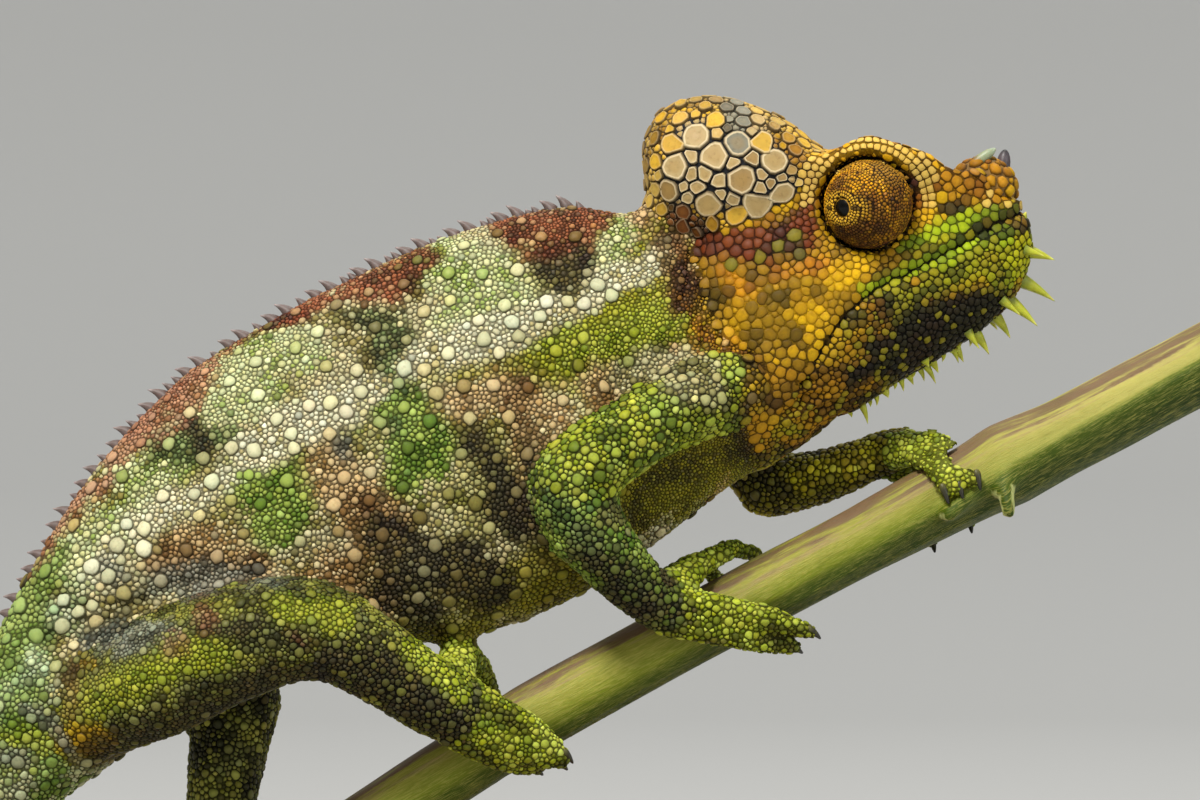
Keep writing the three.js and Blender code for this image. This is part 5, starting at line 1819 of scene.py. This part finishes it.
def eyeball(side, finish):
    """A slightly flat ball with a domed cornea, turned about the gaze."""
    centre, gaze = EYE[side], GAZE[side]
    low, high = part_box("eye_" + side)
    radius = max(high - low) / 2 / MM
    half, dome = radius * 0.85, 0.08
    ring = circle(*square_to(gaze), even_turns(EYE_SIDES))
    rows, off = [], []
    for angle in np.linspace(0.08, math.pi - 0.08, EYE_RINGS):
        out = radius * math.sin(angle)
        bulge = dome * math.exp(-(out / (0.6 * radius)) ** 2) if angle < math.pi / 2 else 0
        ahead = half * math.cos(angle) + bulge
        rows.append(centre + gaze * ahead + ring * out)
        off.append(np.full(EYE_SIDES, out))
    points = np.concatenate([*rows, [centre - gaze * half, centre + gaze * (half + dome)]])
    faces = ring_faces(EYE_RINGS, EYE_SIDES, cap_start=True, cap_end=True)
    faces = [facing_out(points, face) for face in faces]
    piece = make_piece("eyeball_" + side, points * MM, faces, finish, "eye",
                       off_axis=np.concatenate([*off, [0, 0]]))
    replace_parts(piece, "eye_" + side)


EYE_WET = eye_finish()
for side in SIDES:
    eyeball(side, EYE_WET)


# ---- claws

def claw_finish():
    finish = Finish("claw_horn", Specular_IOR_Level=0.3, Coat_Roughness=0.2)
    share = finish.attribute("reach")
    streak = finish.noise(1800)
    stops = ((0, "#595627"), (0.35, "#302e19"), (1, "#14120c"))
    colour = finish.ramp(share + 0.25 * streak - 0.12, stops)
    finish.wear(Base_Color=colour, Roughness=0.3 + 0.25 * streak, Coat_Weight=0.3 * share)
    finish.bumped(streak, 0.25, 0.00006)
    return finish


# How far a claw's root reaches back into the toe.
CLAW_ROOT = 0.8


def long_axis(points):
    """The middle of a long shape, and the direction it runs in."""
    centre = points.mean(0)
    return centre, np.linalg.svd(points - centre, full_matrices=False)[2][0]


def claw(name, finish):
    """A claw: the frame's cone softened and finely divided."""
    points, triangles = node_mesh(name)
    mesh = bpy.data.meshes.new("rough_claw")
    mesh.from_pydata((points * MM).tolist(), [], triangles.tolist())
    rough = placed("rough_claw", mesh)
    rough.modifiers.new("weld", "WELD").merge_threshold = 1e-5
    rough.modifiers.new("round_off", "SUBSURF").levels = 2
    made = rough.evaluated_get(bpy.context.evaluated_depsgraph_get()).data
    spots = np.array([tuple(vertex.co) for vertex in made.vertices])
    quads = np.array([tuple(face.vertices) for face in made.polygons])
    bpy.data.objects.remove(rough)
    centre, axis = long_axis(spots)
    along = (spots - centre) @ axis
    width = length(spots - centre - along[:, None] * axis)
    if width[along > np.quantile(along, 0.8)].mean() > width[along < np.quantile(along, 0.2)].mean():
        along, axis = -along, -axis
    share = (along - along.min()) / (along.max() - along.min())
    spots = spots - axis * (1 - share)[:, None] * CLAW_ROOT * MM
    piece = make_piece(name + "_horn", spots, [quads], finish, "claw", reach=share)
    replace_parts(piece, name)


CLAW_HORN = claw_finish()
for name in CLAWS:
    claw(name, CLAW_HORN)


# ---- the stem

def stem_shape():
    """The stem with long ribs, and for each point its place along and round the stem."""
    solid, box = closed(["perch_stem"], grow=0.1)
    points, quads = surface(blurred(solid, 0.45), box)
    quads = facing_out(points, quads)
    normals = point_normals(points, quads)
    centre, axis = long_axis(node_mesh("perch_stem")[0])
    axis = axis * np.sign(axis[0])
    along = (points - centre) @ axis
    out = points - centre - along[:, None] * axis
    up = unit(at(0, 0, 1) - axis * axis[2])
    side = np.cross(axis, up)
    angle = np.arctan2(out @ side, out @ up)
    ends = np.abs(normals @ axis) > 0.75
    place = np.c_[along / 22, np.cos(angle) * 3, np.sin(angle) * 3]
    ribs = (noise(place, 0.55, 3) - 0.5) * 0.22 + (noise(place, 0.24, 8) - 0.5) * 0.1
    points = points + normals * (ribs * ~ends)[:, None]
    return points, quads, along, angle, ends


def stem_finish():
    """A green herb stem: pale and pink streaked above with a purple-brown ridge, greener below."""
    finish = Finish("green_stem", Specular_IOR_Level=0.2, Subsurface_Weight=0.08, Subsurface_Scale=0.002)
    along, angle = finish.attribute("along"), finish.attribute("height")
    cut = finish.attribute("cut")
    fibre_place = finish.node("ShaderNodeCombineXYZ", None, (along * 0.025, finish.attribute("round_x"),
                                                             finish.attribute("round_y")))
    fibres = finish.noise(5.5, 4, 0.6, fibre_place)
    fine = finish.noise(34, 3, 0.6, fibre_place)
    blotch = finish.noise(160)
    height = angle + 0.22 * (fibres - 0.5)
    flank = finish.ramp(height, ((0, "#273802"), (0.45, "#3f5003"),
                                 (0.66, "#727c1a"), (0.9, "#8c8a34")))
    pale = finish.mix(along.between(8, 34) * height.between(0.5, 0.7) * 0.7, flank, "#b5ab5e")
    streaks = finish.mix(fine.between(0.5, 0.6) * 0.4, pale, "#a39c4e")
    blush = height.between(0.84, 0.96) * fibres.between(0.42, 0.6)
    pink = finish.mix(blush * 0.5, streaks, "#94765e")
    ridge = finish.mix(height.between(0.94, 0.99) * 0.75, pink, "#5d3f36")
    spots = blotch.between(0.5, 0.75) * 0.3 + (1 - fine).between(0.52, 0.62) * 0.25
    mottled = finish.mix(spots, ridge, (0.45, 0.5, 0.2), "MULTIPLY")
    pith = finish.mix(finish.noise(700, 4), "#c9c98a", "#8f9a4a")
    finish.wear(Base_Color=finish.mix(cut, mottled, pith), Roughness=0.42 + 0.25 * fine)
    finish.bumped(fine + 0.5 * fibres, 0.35, 0.00025)
    return finish


def build_stem():
    points, quads, along, angle, ends = stem_shape()
    piece = make_piece("cut_stem", points * MM, [quads], stem_finish(), "stem", along=along,
                       height=0.5 + 0.5 * np.cos(angle), round_x=np.cos(angle),
                       round_y=np.sin(angle), cut=ends.astype(float))
    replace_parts(piece, "perch_stem")


build_stem()


# ---- the stand

# The base's round corners: their radius and the points round each.
BASE_CORNER, CORNER_POINTS = 26, 14


def rounded_outline(width, depth, corner_radius):
    """A rectangle with round corners, as points in the plane."""
    rows = []
    for quarter, (sx, sy) in enumerate(((1, 1), (-1, 1), (-1, -1), (1, -1))):
        centre = at(sx * (width / 2 - corner_radius), sy * (depth / 2 - corner_radius))
        turns = (quarter + np.linspace(0, 1, CORNER_POINTS)) * math.pi / 2
        rows.append(centre + corner_radius * flat_circle(turns))
    return np.concatenate(rows)


def node_box(name):
    """The low and the high corner of a node's box and its middle, in millimetres."""
    low, high = (np.array(v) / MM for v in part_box(name))
    return low, high, (low + high) / 2


def stand_piece(name, node, rings, top, finish, slot, degrees):
    """A closed piece from its rings, the lowest first, smooth but for edges sharper than this."""
    (x, y, _), bottom = rings[0].mean(0), rings[0][0, 2]
    faces = ring_faces(len(rings), len(rings[0]), cap_start=True, cap_end=True)
    points = np.concatenate([*rings, [(x, y, top), (x, y, bottom)]])
    piece = make_piece(name, points * MM, faces, finish, slot)
    picked(piece)
    bpy.ops.object.shade_smooth_by_angle(angle=math.radians(degrees))
    piece.select_set(False)
    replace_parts(piece, node)


def wood_finish():
    """Oiled walnut with its grain along the base."""
    finish = Finish("oiled_walnut", Specular_IOR_Level=0.45, Coat_Roughness=0.25)
    stretch = finish.vector("MULTIPLY", finish.place(), (14, 150, 90))
    warp = finish.noise(0.35, 3, 0.5, stretch)
    lines = finish.noise(1.6, 6, 0.62, stretch)
    pores = finish.noise(1, 2, 0.6, finish.vector("MULTIPLY", finish.place(), (90, 2400, 1400)))
    grain = (lines * 0.7 + warp * 0.6).between(0.45, 0.85)
    colour = finish.mix(grain, "#4a2c18", "#8a5a34")
    pored = finish.mix(pores.between(0.58, 0.7) * 0.7, colour, "#25150b")
    finish.wear(Base_Color=pored, Roughness=0.38 + 0.2 * lines, Coat_Weight=0.25 + 0.1 * grain)
    finish.bumped(pores * -0.6 + lines, 0.2, 0.00012)
    return finish


# The base's edge: (share of the height, how far it steps in).
BASE_EDGE = ((0, 1.4), (0, 0.5), (0.04, 0.12), (0.12, 0), (0.5, 0), (0.56, 0.25), (0.6, 0.95), (0.64, 1.2),
             (0.7, 1.25), (0.8, 1.5), (0.9, 2.1), (0.96, 3), (1, 4.3), (1, 5))


def build_base():
    low, high, centre = node_box("stand_base")
    width, depth, height = high - low
    rows = []
    for share, inset in BASE_EDGE:
        flat = rounded_outline(width - 2 * inset, depth - 2 * inset, BASE_CORNER - inset)
        rows.append(at_height(flat + centre[:2], low[2] + share * height))
    for scale in (0.6, 0.25):
        rows.append((rows[len(BASE_EDGE) - 1] - centre) * (scale, scale, 1) + centre)
    stand_piece("walnut_base", "stand_base", rows, high[2], wood_finish(), "base_wood", 32)


def brass_finish():
    """Brushed brass, a little dulled."""
    finish = Finish("brushed_brass")
    turned = finish.noise(1, 3, 0.6, finish.vector("MULTIPLY", finish.place(), (300, 300, 9000)))
    tarnish = finish.noise(220, 4)
    colour = finish.mix(tarnish.between(0.45, 0.75) * 0.6, "#c9a45a", "#8a6a36")
    finish.wear(Base_Color=colour, Metallic=1 - 0.08 * tarnish,
                Roughness=0.22 + 0.16 * turned + 0.1 * tarnish)
    finish.bumped(turned, 0.12, 0.00005)
    return finish


ROD_SIDES = 40
# The collar and the rod: (share of the height, share of the radius).
COLLAR_PROFILE = ((0, 0.86), (0.06, 0.97), (0.14, 1), (0.4, 1), (0.46, 0.93), (0.54, 0.93), (0.6, 0.99),
                  (0.72, 0.97), (0.84, 0.86), (0.94, 0.72), (1, 0.6))
ROD_PROFILE = ((0, 1), (0.9, 1), (0.93, 1), (0.94, 0.93), (0.955, 0.93), (0.965, 1), (1, 1))


def build_rod():
    """The turned collar and the rod, whose top follows the stem's underside."""
    finish = brass_finish()
    around = flat_circle(even_turns(ROD_SIDES))
    low, high, centre = node_box("stand_collar")
    radius, rows = (high[0] - low[0]) / 2, []
    for share, size in COLLAR_PROFILE:
        rows.append(at_height(around * radius * size + centre[:2], low[2] + share * (high[2] - low[2])))
    stand_piece("brass_collar", "stand_collar", rows, high[2], finish, "rod_brass", 40)
    low, high, centre = node_box("stand_rod")
    stem_tree = face_tree(*node_mesh("perch_stem"))

    def underside(spot):
        hit = stem_tree.ray_cast((*spot, low[2]), (0, 0, 1))[0]
        return min(hit[2] - 0.3, high[2]) if hit else high[2]

    radius, rows = (high[0] - low[0]) / 2, []
    for share, size in ROD_PROFILE:
        ring = around * radius * size + centre[:2]
        tops = np.array([underside(spot) for spot in ring])
        level = at_height(ring, low[2] + share * (tops.min() - low[2]))
        rows.append(np.c_[ring, tops] if share == 1 else level)
    stand_piece("brass_rod", "stand_rod", rows, underside(centre[:2]), finish, "rod_brass", 40)


build_base()
build_rod()


# ---- floor, light and camera

# The floor's rise into the wall: (distance from the middle, height).
ROOM = ((0.6, 0), (1.1, 0), (1.45, 0.05), (1.75, 0.2), (1.92, 0.45), (2, 0.9))


def studio():
    """A pale floor that curves up into a wall, under an even sky."""
    world = bpy.data.worlds.new("pale_studio")
    bpy.context.scene.world = world
    world.use_nodes = True
    background = world.node_tree.nodes["Background"]
    background.inputs["Color"].default_value = (0.86, 0.88, 0.87, 1)
    background.inputs["Strength"].default_value = 0.58
    around, ground = flat_circle(even_turns(64)), CAD_BOX[0][2]
    rows = [at_height(radius * around, height + ground) for radius, height in ROOM]
    points = np.concatenate([*rows, [[0, 0, ground]]])
    walls, middle_fan = ring_faces(len(rows), 64, cap_start=True)
    mesh = bpy.data.meshes.new("floor")
    mesh.from_pydata(points.tolist(), [], [*walls.tolist(), *middle_fan.tolist()])
    mesh.shade_smooth()
    placed("floor", mesh)
    finish = Finish("pale_floor", Base_Color=(0.44, 0.44, 0.435, 1), Roughness=0.9, Specular_IOR_Level=0.1)
    mesh.materials.append(finish.material)


def soft_light(name, place, target, width, power, colour):
    data = bpy.data.lights.new(name, "AREA")
    data.shape = "DISK"
    data.size = width
    data.energy = power
    data.color = colour
    light = placed(name, data)
    light.location = place
    light.rotation_euler = (Vector(target) - Vector(place)).to_track_quat("-Z", "Y").to_euler()


studio()
heart = Vector((0.005, 0, 0.075))
soft_light("key", (-0.42, -0.75, 1.15), heart, 0.34, 25, (1, 0.97, 0.92))
soft_light("fill", (0.9, -0.7, 0.4), heart, 0.8, 4, (0.94, 0.97, 1))
soft_light("back", (0.3, 0.8, 1.5), heart, 0.9, 11, (1, 0.99, 0.95))

camera_data = bpy.data.cameras.new("camera")
camera_data.sensor_width = 36
camera_data.lens = 211.8
camera = placed("camera", camera_data)
camera.location = (0.0136, -0.6, 0.0765)
camera.rotation_euler = (math.pi / 2, 0, 0)
bpy.context.scene.camera = camera
bpy.context.scene.view_settings.view_transform = "Standard"
